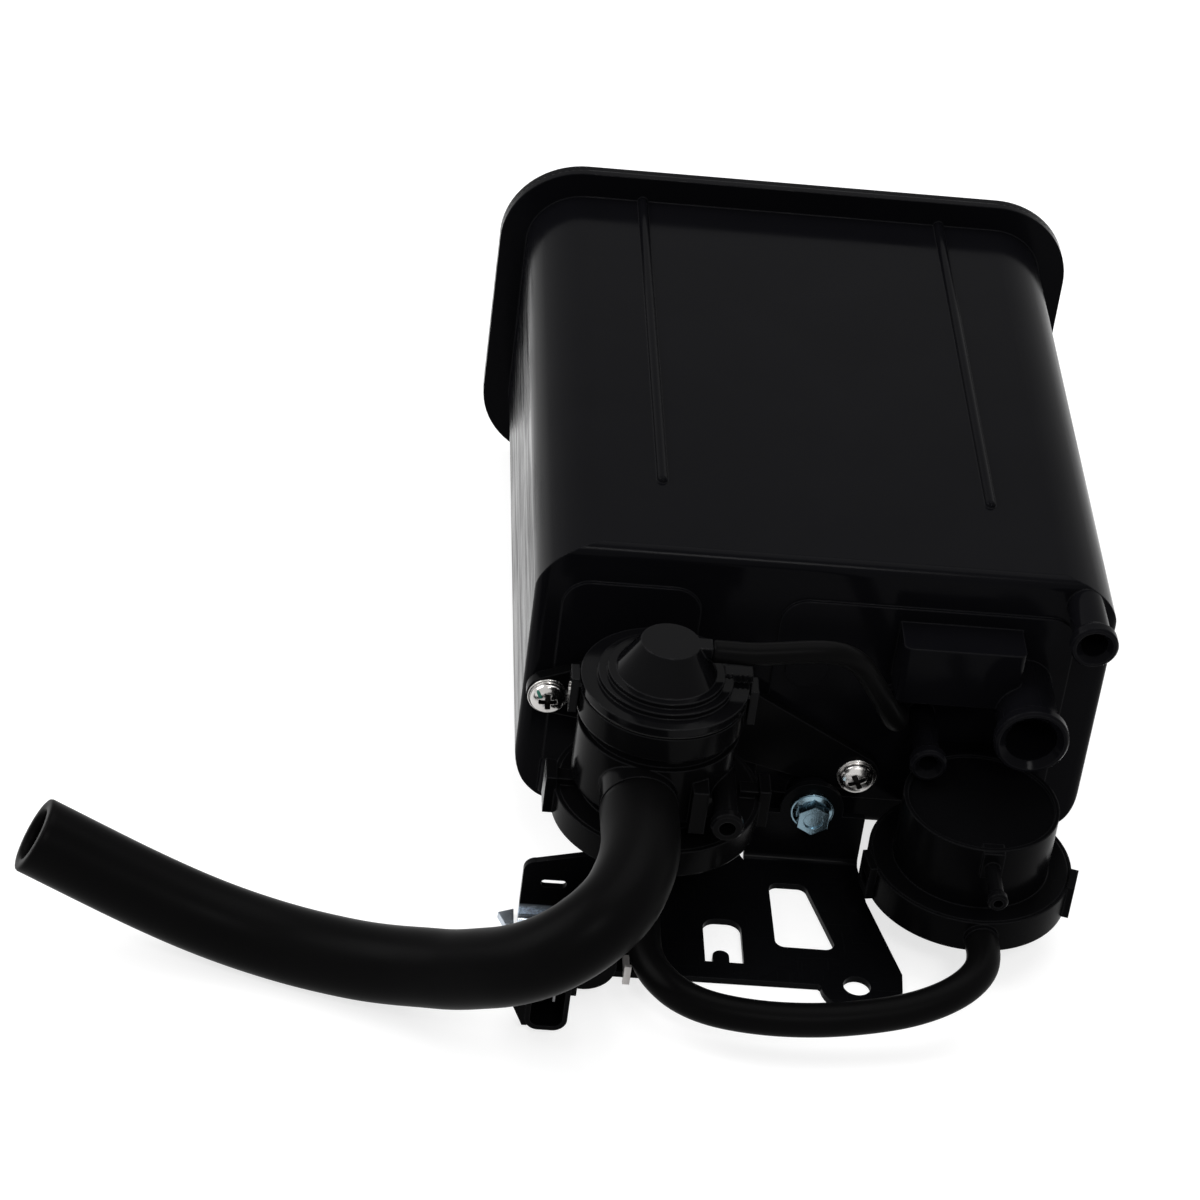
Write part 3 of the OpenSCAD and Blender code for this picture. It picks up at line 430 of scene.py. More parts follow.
    def _bare(self, name: str) -> bpy.types.NodeTree:
        """Where the paint is missing at one end of a sheet.

        Args:
            name: Name of the group.

        Returns:
            The group, with Mask out: 1 left of Right, behind Front and below Top.
        """
        kit, start, end = self._open(
            name, {"Right": 0.0, "Front": 0.0, "Top": 0.0, "Soft": 0.002}, {"Mask": Socket.NUMBER}
        )
        parts = kit.add("ShaderNodeSeparateXYZ")
        kit.join(kit.add("ShaderNodeTexCoord").outputs["Object"], parts.inputs["Vector"])
        limit = start.outputs
        at = parts.outputs
        fades = []
        for more, less in ((limit["Right"], at["X"]), (at["Y"], limit["Front"]), (limit["Top"], at["Z"])):
            room = kit.math("SUBTRACT", more, less)
            fades.append(kit.math("DIVIDE", room, limit["Soft"], clamp=True))
        across = kit.math("MULTIPLY", fades[0], fades[1])
        kit.join(kit.math("MULTIPLY", across, fades[2]), end.inputs["Mask"])
        return kit.tree


@dataclass(frozen=True)
class Zone:
    """A stretch of bare plated metal on a painted sheet, by its limits in metres."""

    right: float
    front: float
    top: float
    colour: Rgb


@dataclass(frozen=True)
class Finish:
    """One surface finish and the procedural material that shows it."""

    name: str
    family: Family
    colour: Rgb
    second: Rgb
    rough_low: float
    rough_high: float
    grain_scale: float = 900.0
    grain_depth: float = 0.00004
    specular: float = 0.3
    edge_radius: float = 0.0005
    # How much of the lighter edge colour shows: edge wear and painted highlight
    edge_wear_and_glint: float = 0.0
    scratches: float = 0.0
    anisotropy: float = 0.0
    streaks: float = 0.0
    bare: Zone | None = None

    def material(self, effects: EffectLibrary) -> bpy.types.Material:
        """Builds the material.

        Args:
            effects: The shared node groups.

        Returns:
            The new material.
        """
        made = bpy.data.materials.new(self.name)
        made.use_nodes = True
        kit = NodeTree(made.node_tree)
        shader = made.node_tree.nodes["Principled BSDF"]
        metal = self.family is Family.METAL
        kit.set(shader, Metallic=1.0 if metal else 0.0, Specular_IOR_Level=self.specular)
        kit.set(shader, Anisotropic=self.anisotropy)
        if self.family is Family.FIBRE:
            kit.set(shader, Sheen_Weight=FIBRE_SHEEN, Sheen_Roughness=FIBRE_SHEEN_ROUGHNESS)
        made.diffuse_color = (*self.colour, 1.0)

        haze = self._group(
            kit, effects, Effect.HAZE, Low=self.rough_low, High=self.rough_high, Scale=HAZE_SCALE
        )
        grain = self._group(kit, effects, Effect.GRAIN, Scale=self.grain_scale)
        edges = self._group(kit, effects, Effect.EDGES, Radius=self.edge_radius)

        colour = kit.mix(haze.outputs["Patches"], self.colour, self.second)
        rough = haze.outputs["Roughness"]
        # Lighter sharp edges: partly wear, partly painted highlight
        if self.edge_wear_and_glint > 0.0:
            colour = self._edge_wear_and_glint(kit, edges, colour)
        for effect, amount in ((Effect.SCRATCHES, self.scratches), (Effect.STREAKS, self.streaks)):
            if amount > 0.0:
                marks = self._group(kit, effects, effect, Amount=amount)
                rough = kit.math("ADD", rough, marks.outputs["Mask"], clamp=True)
        if self.bare is not None:
            colour = self._bared(kit, effects, shader, colour)
        kit.join(colour, shader.inputs["Base Color"])
        kit.join(rough, shader.inputs["Roughness"])

        bump = kit.set(kit.add("ShaderNodeBump"), Strength=BUMP_STRENGTH, Distance=self.grain_depth)
        kit.join(grain.outputs["Height"], bump.inputs["Height"])
        kit.join(edges.outputs["Normal"], bump.inputs["Normal"])
        kit.join(bump.outputs["Normal"], shader.inputs["Normal"])
        return made

    @staticmethod
    def _group(kit: NodeTree, effects: EffectLibrary, effect: Effect, **values: float) -> bpy.types.Node:
        """Places a shared effect in the material.

        Args:
            kit: The material's tree.
            effects: The shared node groups.
            effect: Which effect.
            values: Its inputs by name.

        Returns:
            The group node.
        """
        node = kit.add("ShaderNodeGroup")
        node.node_tree = effects.get(effect)
        return kit.set(node, **values)

    def _edge_wear_and_glint(
        self, kit: NodeTree, edges: bpy.types.Node, colour: bpy.types.NodeSocket
    ) -> bpy.types.NodeSocket:
        """Lightens a colour along the sharp edges: partly wear where handling polishes it, partly a painted
        highlight where the edges catch light.

        Args:
            kit: The material's tree.
            edges: The soft edges' group node.
            colour: The colour below.

        Returns:
            The worn colour.
        """
        share = kit.math("MULTIPLY", edges.outputs["Edge"], self.edge_wear_and_glint)
        return kit.mix(share, colour, EDGE_WEAR_AND_GLINT_GREY)

    def _bared(
        self, kit: NodeTree, effects: EffectLibrary, shader: bpy.types.Node, colour: bpy.types.NodeSocket
    ) -> bpy.types.NodeSocket:
        """Shows plated metal in the bare zone.

        Args:
            kit: The material's tree.
            effects: The shared node groups.
            shader: The material's shader, which turns metallic there.
            colour: The paint's colour.

        Returns:
            The colour with the bare zone in it.
        """
        zone = self._group(
            kit, effects, Effect.BARE, Right=self.bare.right, Front=self.bare.front, Top=self.bare.top
        )
        kit.join(zone.outputs["Mask"], shader.inputs["Metallic"])
        return kit.mix(zone.outputs["Mask"], colour, self.bare.colour)


CASE_BLACK = Finish(
    "case_black", Family.MOULDED, (0.0022, 0.0022, 0.0028), (0.0032, 0.0032, 0.004), 0.1, 0.18,
    grain_scale=1300.0, grain_depth=0.000008, specular=0.018, edge_radius=0.0008, streaks=0.14, edge_wear_and_glint=0.3,
)
VALVE_BLACK = Finish(
    "valve_black", Family.MOULDED, (0.0016, 0.0016, 0.0018), (0.0024, 0.0024, 0.0026), 0.14, 0.22,
    grain_scale=1600.0, grain_depth=0.00001, specular=0.02, edge_radius=0.0008, edge_wear_and_glint=0.3,
)
CAP_GLOSS = Finish(
    "cap_gloss", Family.MOULDED, (0.0018, 0.0018, 0.0021), (0.0026, 0.0026, 0.003), 0.08, 0.14,
    grain_scale=1800.0, grain_depth=0.000005, specular=0.04, scratches=0.05, edge_radius=0.0008, edge_wear_and_glint=0.35,
)
FILTER_BLACK = Finish(
    "filter_black", Family.MOULDED, (0.0014, 0.0014, 0.0016), (0.0022, 0.0022, 0.0025), 0.2, 0.3,
    grain_scale=1500.0, grain_depth=0.00001, specular=0.013, edge_radius=0.0008, edge_wear_and_glint=0.3,
)
SOLENOID_BLACK = Finish(
    "solenoid_black", Family.MOULDED, (0.0016, 0.0016, 0.0018), (0.0024, 0.0024, 0.0027), 0.22, 0.34,
    grain_scale=1700.0, grain_depth=0.00001, specular=0.02, edge_radius=0.0006, edge_wear_and_glint=0.3,
)
GRID_GREY = Finish("grid_grey", Family.MOULDED, (0.03, 0.03, 0.03), (0.045, 0.045, 0.045), 0.5, 0.6)
HOSE_RUBBER = Finish(
    "hose_rubber", Family.RUBBER, (0.0014, 0.0014, 0.0015), (0.0024, 0.0023, 0.0024), 0.32, 0.44,
    grain_scale=2200.0, grain_depth=0.00002, specular=0.018, edge_radius=0.0004,
)
SEAL_RUBBER = Finish("seal_rubber", Family.RUBBER, (0.01, 0.01, 0.01), (0.016, 0.016, 0.016), 0.5, 0.62)
BRACKET_PAINT = Finish(
    "bracket_paint", Family.PAINT, (0.0018, 0.0018, 0.0022), (0.0028, 0.0029, 0.0034), 0.2, 0.3,
    grain_scale=700.0, grain_depth=0.00001, specular=0.025, scratches=0.06, edge_radius=0.0004, edge_wear_and_glint=0.3,
    bare=Zone(right=-0.0915, front=0.0105, top=0.009, colour=(0.44, 0.49, 0.55)),
)
BOLT_ZINC = Finish(
    "bolt_zinc", Family.METAL, (0.11, 0.19, 0.24), (0.3, 0.42, 0.49), 0.12, 0.22,
    grain_scale=2400.0, grain_depth=0.00002, specular=0.5, scratches=0.15, edge_radius=0.0003,
)
SCREW_PLATE = Finish(
    "screw_plate", Family.METAL, (0.4, 0.39, 0.38), (0.68, 0.66, 0.64), 0.14, 0.26,
    grain_scale=2400.0, grain_depth=0.00002, specular=0.5, scratches=0.15, edge_radius=0.0003,
)
# Painted shade: a darker plating on the faces deep in a screw's cross recess, where shade falls
RECESS_SHADE = Finish(
    "recess_shade", Family.METAL, (0.02, 0.019, 0.018), (0.045, 0.043, 0.041), 0.3, 0.45,
    grain_scale=2400.0, grain_depth=0.00002, specular=0.5, edge_radius=0.0001,
)
MARK_GREEN = Finish(
    "mark_green", Family.PAINT, (0.008, 0.1, 0.072), (0.016, 0.14, 0.1), 0.3, 0.45,
    grain_scale=1800.0, grain_depth=0.00002, specular=0.3, edge_radius=0.0002,
)
TURNED_STEEL = Finish(
    "turned_steel", Family.METAL, (0.5, 0.51, 0.53), (0.62, 0.63, 0.65), 0.25, 0.4,
    scratches=0.2, anisotropy=0.3, edge_radius=0.0003,
)
SPRING_WIRE = Finish(
    "spring_wire", Family.METAL, (0.42, 0.43, 0.45), (0.55, 0.56, 0.58), 0.28, 0.42, edge_radius=0.0001
)
TIN_GREY = Finish(
    "tin_grey", Family.METAL, (0.16, 0.16, 0.165), (0.24, 0.24, 0.245), 0.3, 0.45, edge_radius=0.0002
)
COIL_COPPER = Finish(
    "coil_copper", Family.METAL, (0.6, 0.28, 0.12), (0.7, 0.36, 0.18), 0.3, 0.45, edge_radius=0.0003
)
PLAIN_BRASS = Finish(
    "plain_brass", Family.METAL, (0.66, 0.48, 0.2), (0.76, 0.6, 0.32), 0.22, 0.38, edge_radius=0.0002
)
CLIP_PALE = Finish(
    "clip_pale", Family.MOULDED, (0.86, 0.82, 0.8), (0.92, 0.89, 0.87), 0.35, 0.5, edge_radius=0.0003
)
FELT_WHITE = Finish(
    "felt_white", Family.FIBRE, (0.62, 0.59, 0.5), (0.75, 0.72, 0.64), 0.8, 0.95,
    grain_scale=500.0, grain_depth=0.0003, specular=0.1,
)
FILTER_PAPER = Finish(
    "filter_paper", Family.FIBRE, (0.68, 0.6, 0.42), (0.78, 0.71, 0.54), 0.75, 0.9,
    grain_scale=700.0, grain_depth=0.0001, specular=0.1,
)
CHARCOAL = Finish(
    "charcoal_grains", Family.GRAINS, (0.008, 0.008, 0.008), (0.02, 0.02, 0.021), 0.7, 0.9,
    grain_scale=320.0, grain_depth=0.0012, specular=0.2,
)

# Finish of each node of the drawing, also of the nodes that a piece stands for
NODE_FINISH: dict[str, Finish] = {
    "canister_case": CASE_BLACK,
    "end_cover": CASE_BLACK,
    "valve_body": VALVE_BLACK,
    "valve_base_cap": VALVE_BLACK,
    "valve_cap": CAP_GLOSS,
    "filter_cup": FILTER_BLACK,
    "filter_cap": FILTER_BLACK,
    "main_grid": GRID_GREY,
    "side_grid": GRID_GREY,
    "solenoid_body": SOLENOID_BLACK,
    "main_charcoal_bed": CHARCOAL,
    "side_charcoal_bed": CHARCOAL,
    "main_port_felt": FELT_WHITE,
    "side_port_felt": FELT_WHITE,
    "main_end_felt": FELT_WHITE,
    "side_end_felt": FELT_WHITE,
    "filter_element": FILTER_PAPER,
    "bed_springs": SPRING_WIRE,
    "valve_spring": SPRING_WIRE,
    "plunger_spring": SPRING_WIRE,
    "valve_plate": TURNED_STEEL,
    "solenoid_core": TURNED_STEEL,
    "solenoid_plunger": TURNED_STEEL,
    "valve_screws": SCREW_PLATE,
    "bracket_bolt": BOLT_ZINC,
    "valve_diaphragm": SEAL_RUBBER,
    "valve_base_seal": SEAL_RUBBER,
    "valve_port_seal": SEAL_RUBBER,
    "filter_seal": SEAL_RUBBER,
    "solenoid_coil": COIL_COPPER,
    "connector_terminals": TIN_GREY,
    "bolt_insert": PLAIN_BRASS,
    "mounting_bracket": BRACKET_PAINT,
    "harness_clip": CLIP_PALE,
    "tank_hose": HOSE_RUBBER,
    "vent_hose": HOSE_RUBBER,
    "link_hose": HOSE_RUBBER,
    "signal_hose": HOSE_RUBBER,
}


class Wardrobe:
    """Makes each finish's material once and puts it on objects."""

    def __init__(self, effects: EffectLibrary) -> None:
        """Keeps the shared effects.

        Args:
            effects: The shared node groups.
        """
        self.effects = effects
        self.made: dict[str, bpy.types.Material] = {}

    def material(self, finish: Finish) -> bpy.types.Material:
        """Gives a finish's material, made the first time.

        Args:
            finish: Which finish.

        Returns:
            The material.
        """
        if finish.name not in self.made:
            self.made[finish.name] = finish.material(self.effects)
        return self.made[finish.name]

    def dress(self, thing: bpy.types.Object, finish: Finish) -> None:
        """Puts a finish on an object.

        Args:
            thing: The object.
            finish: The finish it gets.
        """
        thing.data.materials.clear()
        thing.data.materials.append(self.material(finish))

    def patch(self, thing: bpy.types.Object, finish: Finish, chosen: Callable[[Vector], bool]) -> None:
        """Puts a second finish on some faces of a dressed object.

        Args:
            thing: The object, which already wears its main finish.
            finish: The finish of the chosen faces.
            chosen: Says from a face's middle, in metres, whether the face gets it.
        """
        thing.data.materials.append(self.material(finish))
        for face in thing.data.polygons:
            if chosen(face.center):
                face.material_index = len(thing.data.materials) - 1


def loft(name: str, hoops: list[list[Vector]], looped: bool) -> bpy.types.Object:
    """Joins closed hoops of points into one mesh.

    Args:
        name: Name of the new object.
        hoops: Rings of equally many points, in order.
        looped: True joins the last ring to the first, False closes both ends.

    Returns:
        The new object, linked to the scene.
    """
    shape = bmesh.new()
    rings = [[shape.verts.new(point) for point in hoop] for hoop in hoops]
    ahead = rings[1:] + rings[:1] if looped else rings[1:]
    for here, there in zip(rings, ahead):
        for k in range(len(here)):
            m = (k + 1) % len(here)
            shape.faces.new((here[k], here[m], there[m], there[k])).smooth = True
    if not looped:
        shape.faces.new(rings[0][::-1])
        shape.faces.new(rings[-1])
    bmesh.ops.recalc_face_normals(shape, faces=shape.faces)
    mesh = bpy.data.meshes.new(name)
    shape.to_mesh(mesh)
    shape.free()
    made = bpy.data.objects.new(name, mesh)
    bpy.context.scene.collection.objects.link(made)
    return made


@dataclass
class Hose:
    """A round rubber hose along a route, hollow, with soft lips at its cut ends."""

    name: str
    node: str
    route: list[Point]
    outer_mm: float
    bore_mm: float
    sides: int = 40
    step_mm: float = 2.5
    lip_mm: float = 0.7
    outer_round: float = 0.3
    bore_round: float = 0.6
    path: list[Vector] = field(default_factory=list)

    def centreline(self) -> list[Vector]:
        """Runs one smooth curve through the route's points.

        Returns:
            Points along the curve, in metres in the shared frame.
        """
        stops = [row(p) for p in self.route]
        ahead = [2 * stops[0] - stops[1], *stops, 2 * stops[-1] - stops[-2]]
        line: list[Vector] = []
        for i in range(1, len(ahead) - 2):
            a, b, c, d = ahead[i - 1:i + 3]
            count = max(2, round((c - b).length / (self.step_mm * MM)))
            for k in range(count):
                line.append(self._between(a, b, c, d, k / count))
        line.append(stops[-1])
        return line

    @staticmethod
    def _between(a: Vector, b: Vector, c: Vector, d: Vector, t: float) -> Vector:
        """A point of the smooth curve from b to c.

        Args:
            a: Point before.
            b: Start of the stretch.
            c: End of the stretch.
            d: Point after.
            t: Share of the way, from 0 to 1.

        Returns:
            The point.
        """
        start = (c - a) / 2
        end = (d - b) / 2
        square = t * t
        cube = square * t
        near = (2 * cube - 3 * square + 1) * b + (cube - 2 * square + t) * start
        far = (3 * square - 2 * cube) * c + (cube - square) * end
        return near + far

    def build(self) -> bpy.types.Object:
        """Builds the hollow tube.

        Returns:
            The new object, linked to the scene.
        """
        self.path = self.centreline()
        outer = self.outer_mm * MM
        bore = self.bore_mm * MM
        lip = self.lip_mm * MM
        soft = lip * self.outer_round
        flare = lip * self.bore_round
        frames = self._frames()
        last = len(self.path) - 1
        # A ring is a point of the path, a shift along it and a radius: out along the hose, back in the bore
        rings: list[tuple[int, float, float]] = [(0, 0.0, outer - lip)]
        rings += [(0, soft, outer - soft), (0, lip, outer)]
        rings += [(i, 0.0, outer) for i in range(1, last)]
        rings += [(last, -lip, outer), (last, -soft, outer - soft), (last, 0.0, outer - lip)]
        rings += [(last, 0.0, bore + flare), (last, -flare, bore)]
        rings += [(i, 0.0, bore) for i in range(last - 1, 0, -1)]
        rings += [(0, flare, bore), (0, 0.0, bore + flare)]
        turns = circle(self.sides)
        hoops = []
        for place, shift, radius in rings:
            heading, side, over = frames[place]
            centre = self.path[place] + heading * shift
            hoops.append([centre + (side * math.cos(a) + over * math.sin(a)) * radius for a in turns])
        return loft(self.name, hoops, looped=True)

    def _frames(self) -> list[tuple[Vector, Vector, Vector]]:
        """Carries one cross direction along the path without twist.

        Returns:
            Heading, side and over direction at each point.
        """
        frames = []
        side = Vector((0.0, 0.0, 1.0))
        last = len(self.path) - 1
        for i in range(last + 1):
            heading = (self.path[min(i + 1, last)] - self.path[max(i - 1, 0)]).normalized()
            side = (side - heading * side.dot(heading)).normalized()
            frames.append((heading, side, heading.cross(side)))
        return frames

    def install(self, wardrobe: Wardrobe, slot: str) -> bpy.types.Object:
        """Builds, dresses and seats the hose in place of its solid.

        Args:
            wardrobe: Where the finish comes from.
            slot: Not used.

        Returns:
            The new object.
        """
        made = self.build()
        wardrobe.dress(made, HOSE_RUBBER)
        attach(made, CARRIER)
        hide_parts(self.node)
        return made


@dataclass
class HoseSet:
    """The canister's hoses: the free tank hose and the ones held at both ends."""

    slot: str = "hose_rubber"
    tank_length: float = 0.254
    tank_diameter: float = 0.025
    tank: Hose = field(default_factory=lambda: Hose(
        "tank_hose_tube", "tank_hose",
        [
            (-60, -66.5, 53), (-60, -75, 53), (-60, -83, 53), (-61, -91.5, 52.5), (-63.5, -100.5, 51.2),
            (-67.5, -108.8, 49), (-74, -115.6, 45.6), (-82, -119.3, 40.4), (-90.5, -119.6, 34.4),
            (-98.8, -116.8, 28.2), (-107, -112.2, 22.4), (-115, -107.3, 17), (-124, -102, 12.5),
            (-133, -97.5, 8.8), (-142, -93.5, 6.1), (-152, -89.3, 4.2), (-163, -85.1, 3.1),
            (-174, -81.7, 3.4), (-185, -79.3, 5.2), (-196, -77.6, 8.3), (-207, -76.3, 12.4),
            (-218, -75.3, 17.2), (-229, -74.4, 22.4), (-240, -73.6, 27.8), (-247.5, -73.1, 31.5),
        ],
        12.45, 8.4, sides=56, lip_mm=0.9,
    ))
    vent: Hose = field(default_factory=lambda: Hose(
        "vent_hose_tube", "vent_hose",
        [
            (55, -71.9, 12.5), (55, -78, 12.5), (53.8, -84, 12.2), (50.5, -89.5, 11.4), (45, -94.5, 10.2),
            (37.5, -98.3, 8.4), (28, -101.2, 6.6), (15.5, -103.6, 5.2), (1.5, -105.2, 4.2),
            (-13, -105.3, 3.6), (-26, -103.8, 3.4), (-36, -101, 3.6), (-44, -96.2, 4.2),
            (-49.8, -88.8, 4.8), (-52.5, -81, 5), (-53, -74, 5), (-53, -68, 5), (-53, -63, 5),
        ],
        5.45, 3.78, step_mm=2.0,
    ))
    signal: Hose = field(default_factory=lambda: Hose(
        "signal_hose_tube", "signal_hose",
        [
            (-40.5, -37, 94.3), (-35, -37, 94.3), (-28, -37, 94.3), (-19, -36.5, 95), (-10, -35.8, 95.8),
            (-3, -35, 95.6), (3, -33.5, 93.3), (8, -31.5, 88.8), (12.5, -29.8, 82), (16.5, -28, 75),
            (20, -25.5, 68.2), (23.3, -22, 61.8), (25.6, -17, 57.6), (26.5, -11, 56), (26.5, -4, 56),
        ],
        3.65, 2.4, sides=32, step_mm=1.6,
    ))
    link: Hose = field(default_factory=lambda: Hose(
        "link_hose_tube", "link_hose",
        [(-60, -50, 8.5), (-60, -38, 8.5), (-60, -27, 8.5), (-60, -15, 8.5), (-60, -4, 8.5)],
        5.45, 3.78, step_mm=4.0,
    ))

    def install(self, wardrobe: Wardrobe) -> list[bpy.types.Object]:
        """Args:
            wardrobe: Where the finish comes from.

        Returns:
            The new objects.
        """
        free = self.tank.install(wardrobe, self.slot)
        held = [hose.install(wardrobe, self.slot) for hose in (self.vent, self.signal, self.link)]
        return [free, *held]


@dataclass(frozen=True)
class Spring:
    """A wire spring between a fixed seat and a sliding piece, which presses it shorter."""

    name: str
    node: str
    joint: str
    seat: Point
    heading: Point
    radius_mm: float
    wire_mm: float
    length_mm: float
    turns: int
    travel_mm: float = 2.0
    spare_mm: float = 0.05
    flat_pitch: float = 2.1
    per_turn: int = 32
    sides: int = 10
    slot: str = "spring_steel"

    def rise(self, turn: float) -> float:
        """Height of the wire's middle, with one flat turn at each end.

        Args:
            turn: Turns from the seat.

        Returns:
            Height from the seat in millimetres.
        """
        flat = self.flat_pitch * self.wire_mm
        room = self.length_mm - 2 * self.wire_mm
        steep = (room - 2 * flat) / (self.turns - 2)
        if turn < 1:
            return self.wire_mm + flat * turn
        if turn > self.turns - 1:
            return self.wire_mm + room - flat * (self.turns - turn)
        return self.wire_mm + flat + steep * (turn - 1)

    def build(self) -> bpy.types.Object:
        """Winds the wire.

        Returns:
            The new object, linked to the scene.
        """
        ahead = Vector(self.heading)
        across = ahead.orthogonal().normalized()
        beside = ahead.cross(across)
        around = circle(self.sides)
        hoops = []
        for i in range(self.turns * self.per_turn + 1):
            turn = i / self.per_turn
            angle = 2 * math.pi * turn
            out = across * math.cos(angle) + beside * math.sin(angle)
            centre = Vector(self.seat) + out * self.radius_mm + ahead * self.rise(turn)
            ring = [(out * math.cos(a) + ahead * math.sin(a)) * self.wire_mm for a in around]
            hoops.append([row(centre + spoke) for spoke in ring])
        return loft(self.name, hoops, looped=False)

    def install(self, wardrobe: Wardrobe) -> list[bpy.types.Object]:
        """Builds, dresses and seats the spring in place of its solid.

        Args:
            wardrobe: Where the finish comes from.

        Returns:
            The new object, in a list.
        """
        made = self.build()
        wardrobe.dress(made, SPRING_WIRE)
        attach(made, CARRIER)
        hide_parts(self.node)
        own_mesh(made)
        return [made]


@dataclass(frozen=True)
class Diaphragm:
    """The valve's rubber sheet: a clamped rim, a middle on the plate, and a web that bends between them."""

    node: str = "valve_diaphragm"
    slot: str = "seal_rubber"
    mover: str = "pressure_plate"
    centre: Point = (-54, -37, 79)
    half_mm: float = 0.5
    hole_mm: float = 2.32
    middle_mm: float = 11.48
    web_in_mm: float = 11.5
    web_out_mm: float = 16.6
    rim_mm: float = 16.62
    outer_mm: float = 26.15
    bead_at_mm: float = 14.6
    bead_mm: float = 0.78
    sectors: int = 12
    steps: int = 96
    web_cuts: int = 24

    def swept(self, name: str, profile: list[tuple[float, float]], first: int, last: int) -> bpy.types.Object:
        """Sweeps a profile round the valve's middle.

        Args:
            name: Name of the new object.
            profile: Radius and height of each point, in millimetres.
            first: Step of the circle where it starts.
            last: Step where it ends, or a full circle's steps on from the first.

        Returns:
            The new object, linked to the scene.
        """
        whole = last - first == self.steps
        up = Vector((0.0, 0.0, 1.0))
        hoops = []
        for i in range(first, last if whole else last + 1):
            out = self.outward(i)
            hoops.append([row(Vector(self.centre) + out * r + up * z) for r, z in profile])
        return loft(name, hoops, looped=whole)

    def outward(self, step: float) -> Vector:
        """Direction from the middle at a step of the circle.

        Args:
            step: Steps from the right-hand side.

        Returns:
            A unit vector.
        """
        angle = 2 * math.pi * step / self.steps
        return Vector((math.cos(angle), math.sin(angle), 0.0))

    def flat(self, inner: float, outer: float) -> list[tuple[float, float]]:
        """Profile of a flat ring.

        Args:
            inner: Inner radius in millimetres.
            outer: Outer radius in millimetres.

        Returns:
            Radius and height of each corner.
        """
        return [(inner, -self.half_mm), (outer, -self.half_mm), (outer, self.half_mm), (inner, self.half_mm)]

    def web(self) -> list[tuple[float, float]]:
        """Profile of the web with its round bead.

        Returns:
            Radius and height of each point, along the underside and back along the top.
        """
        under = []
        for i in range(self.web_cuts + 1):
            r = self.web_in_mm + (self.web_out_mm - self.web_in_mm) * i / self.web_cuts
            round_half = math.sqrt(max(0.0, self.bead_mm ** 2 - (r - self.bead_at_mm) ** 2))
            under.append((r, -max(self.half_mm, round_half)))
        return under + [(r, -z) for r, z in reversed(under)]

    def install(self, wardrobe: Wardrobe) -> list[bpy.types.Object]:
        """Builds, dresses and seats the sheet's pieces in place of its solid.

        Args:
            wardrobe: Where the finish comes from.

        Returns:
            The new objects.
        """
        rim = self.swept("diaphragm_rim", self.flat(self.rim_mm, self.outer_mm), 0, self.steps)
        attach(rim, CARRIER)
        middle = self.swept("diaphragm_middle", self.flat(self.hole_mm, self.middle_mm), 0, self.steps)
        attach(middle, self.mover)
        pieces = [rim, middle]
        span = self.steps // self.sectors
        for k in range(self.sectors):
            piece = self.swept(f"diaphragm_web_{k + 1}", self.web(), k * span, (k + 1) * span)
            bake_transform(piece)
            pieces.append(piece)
        for piece in pieces:
            wardrobe.dress(piece, SEAL_RUBBER)
            smooth_by_angle(piece, SOLID_CREASE)
            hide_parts(self.node)
        return pieces


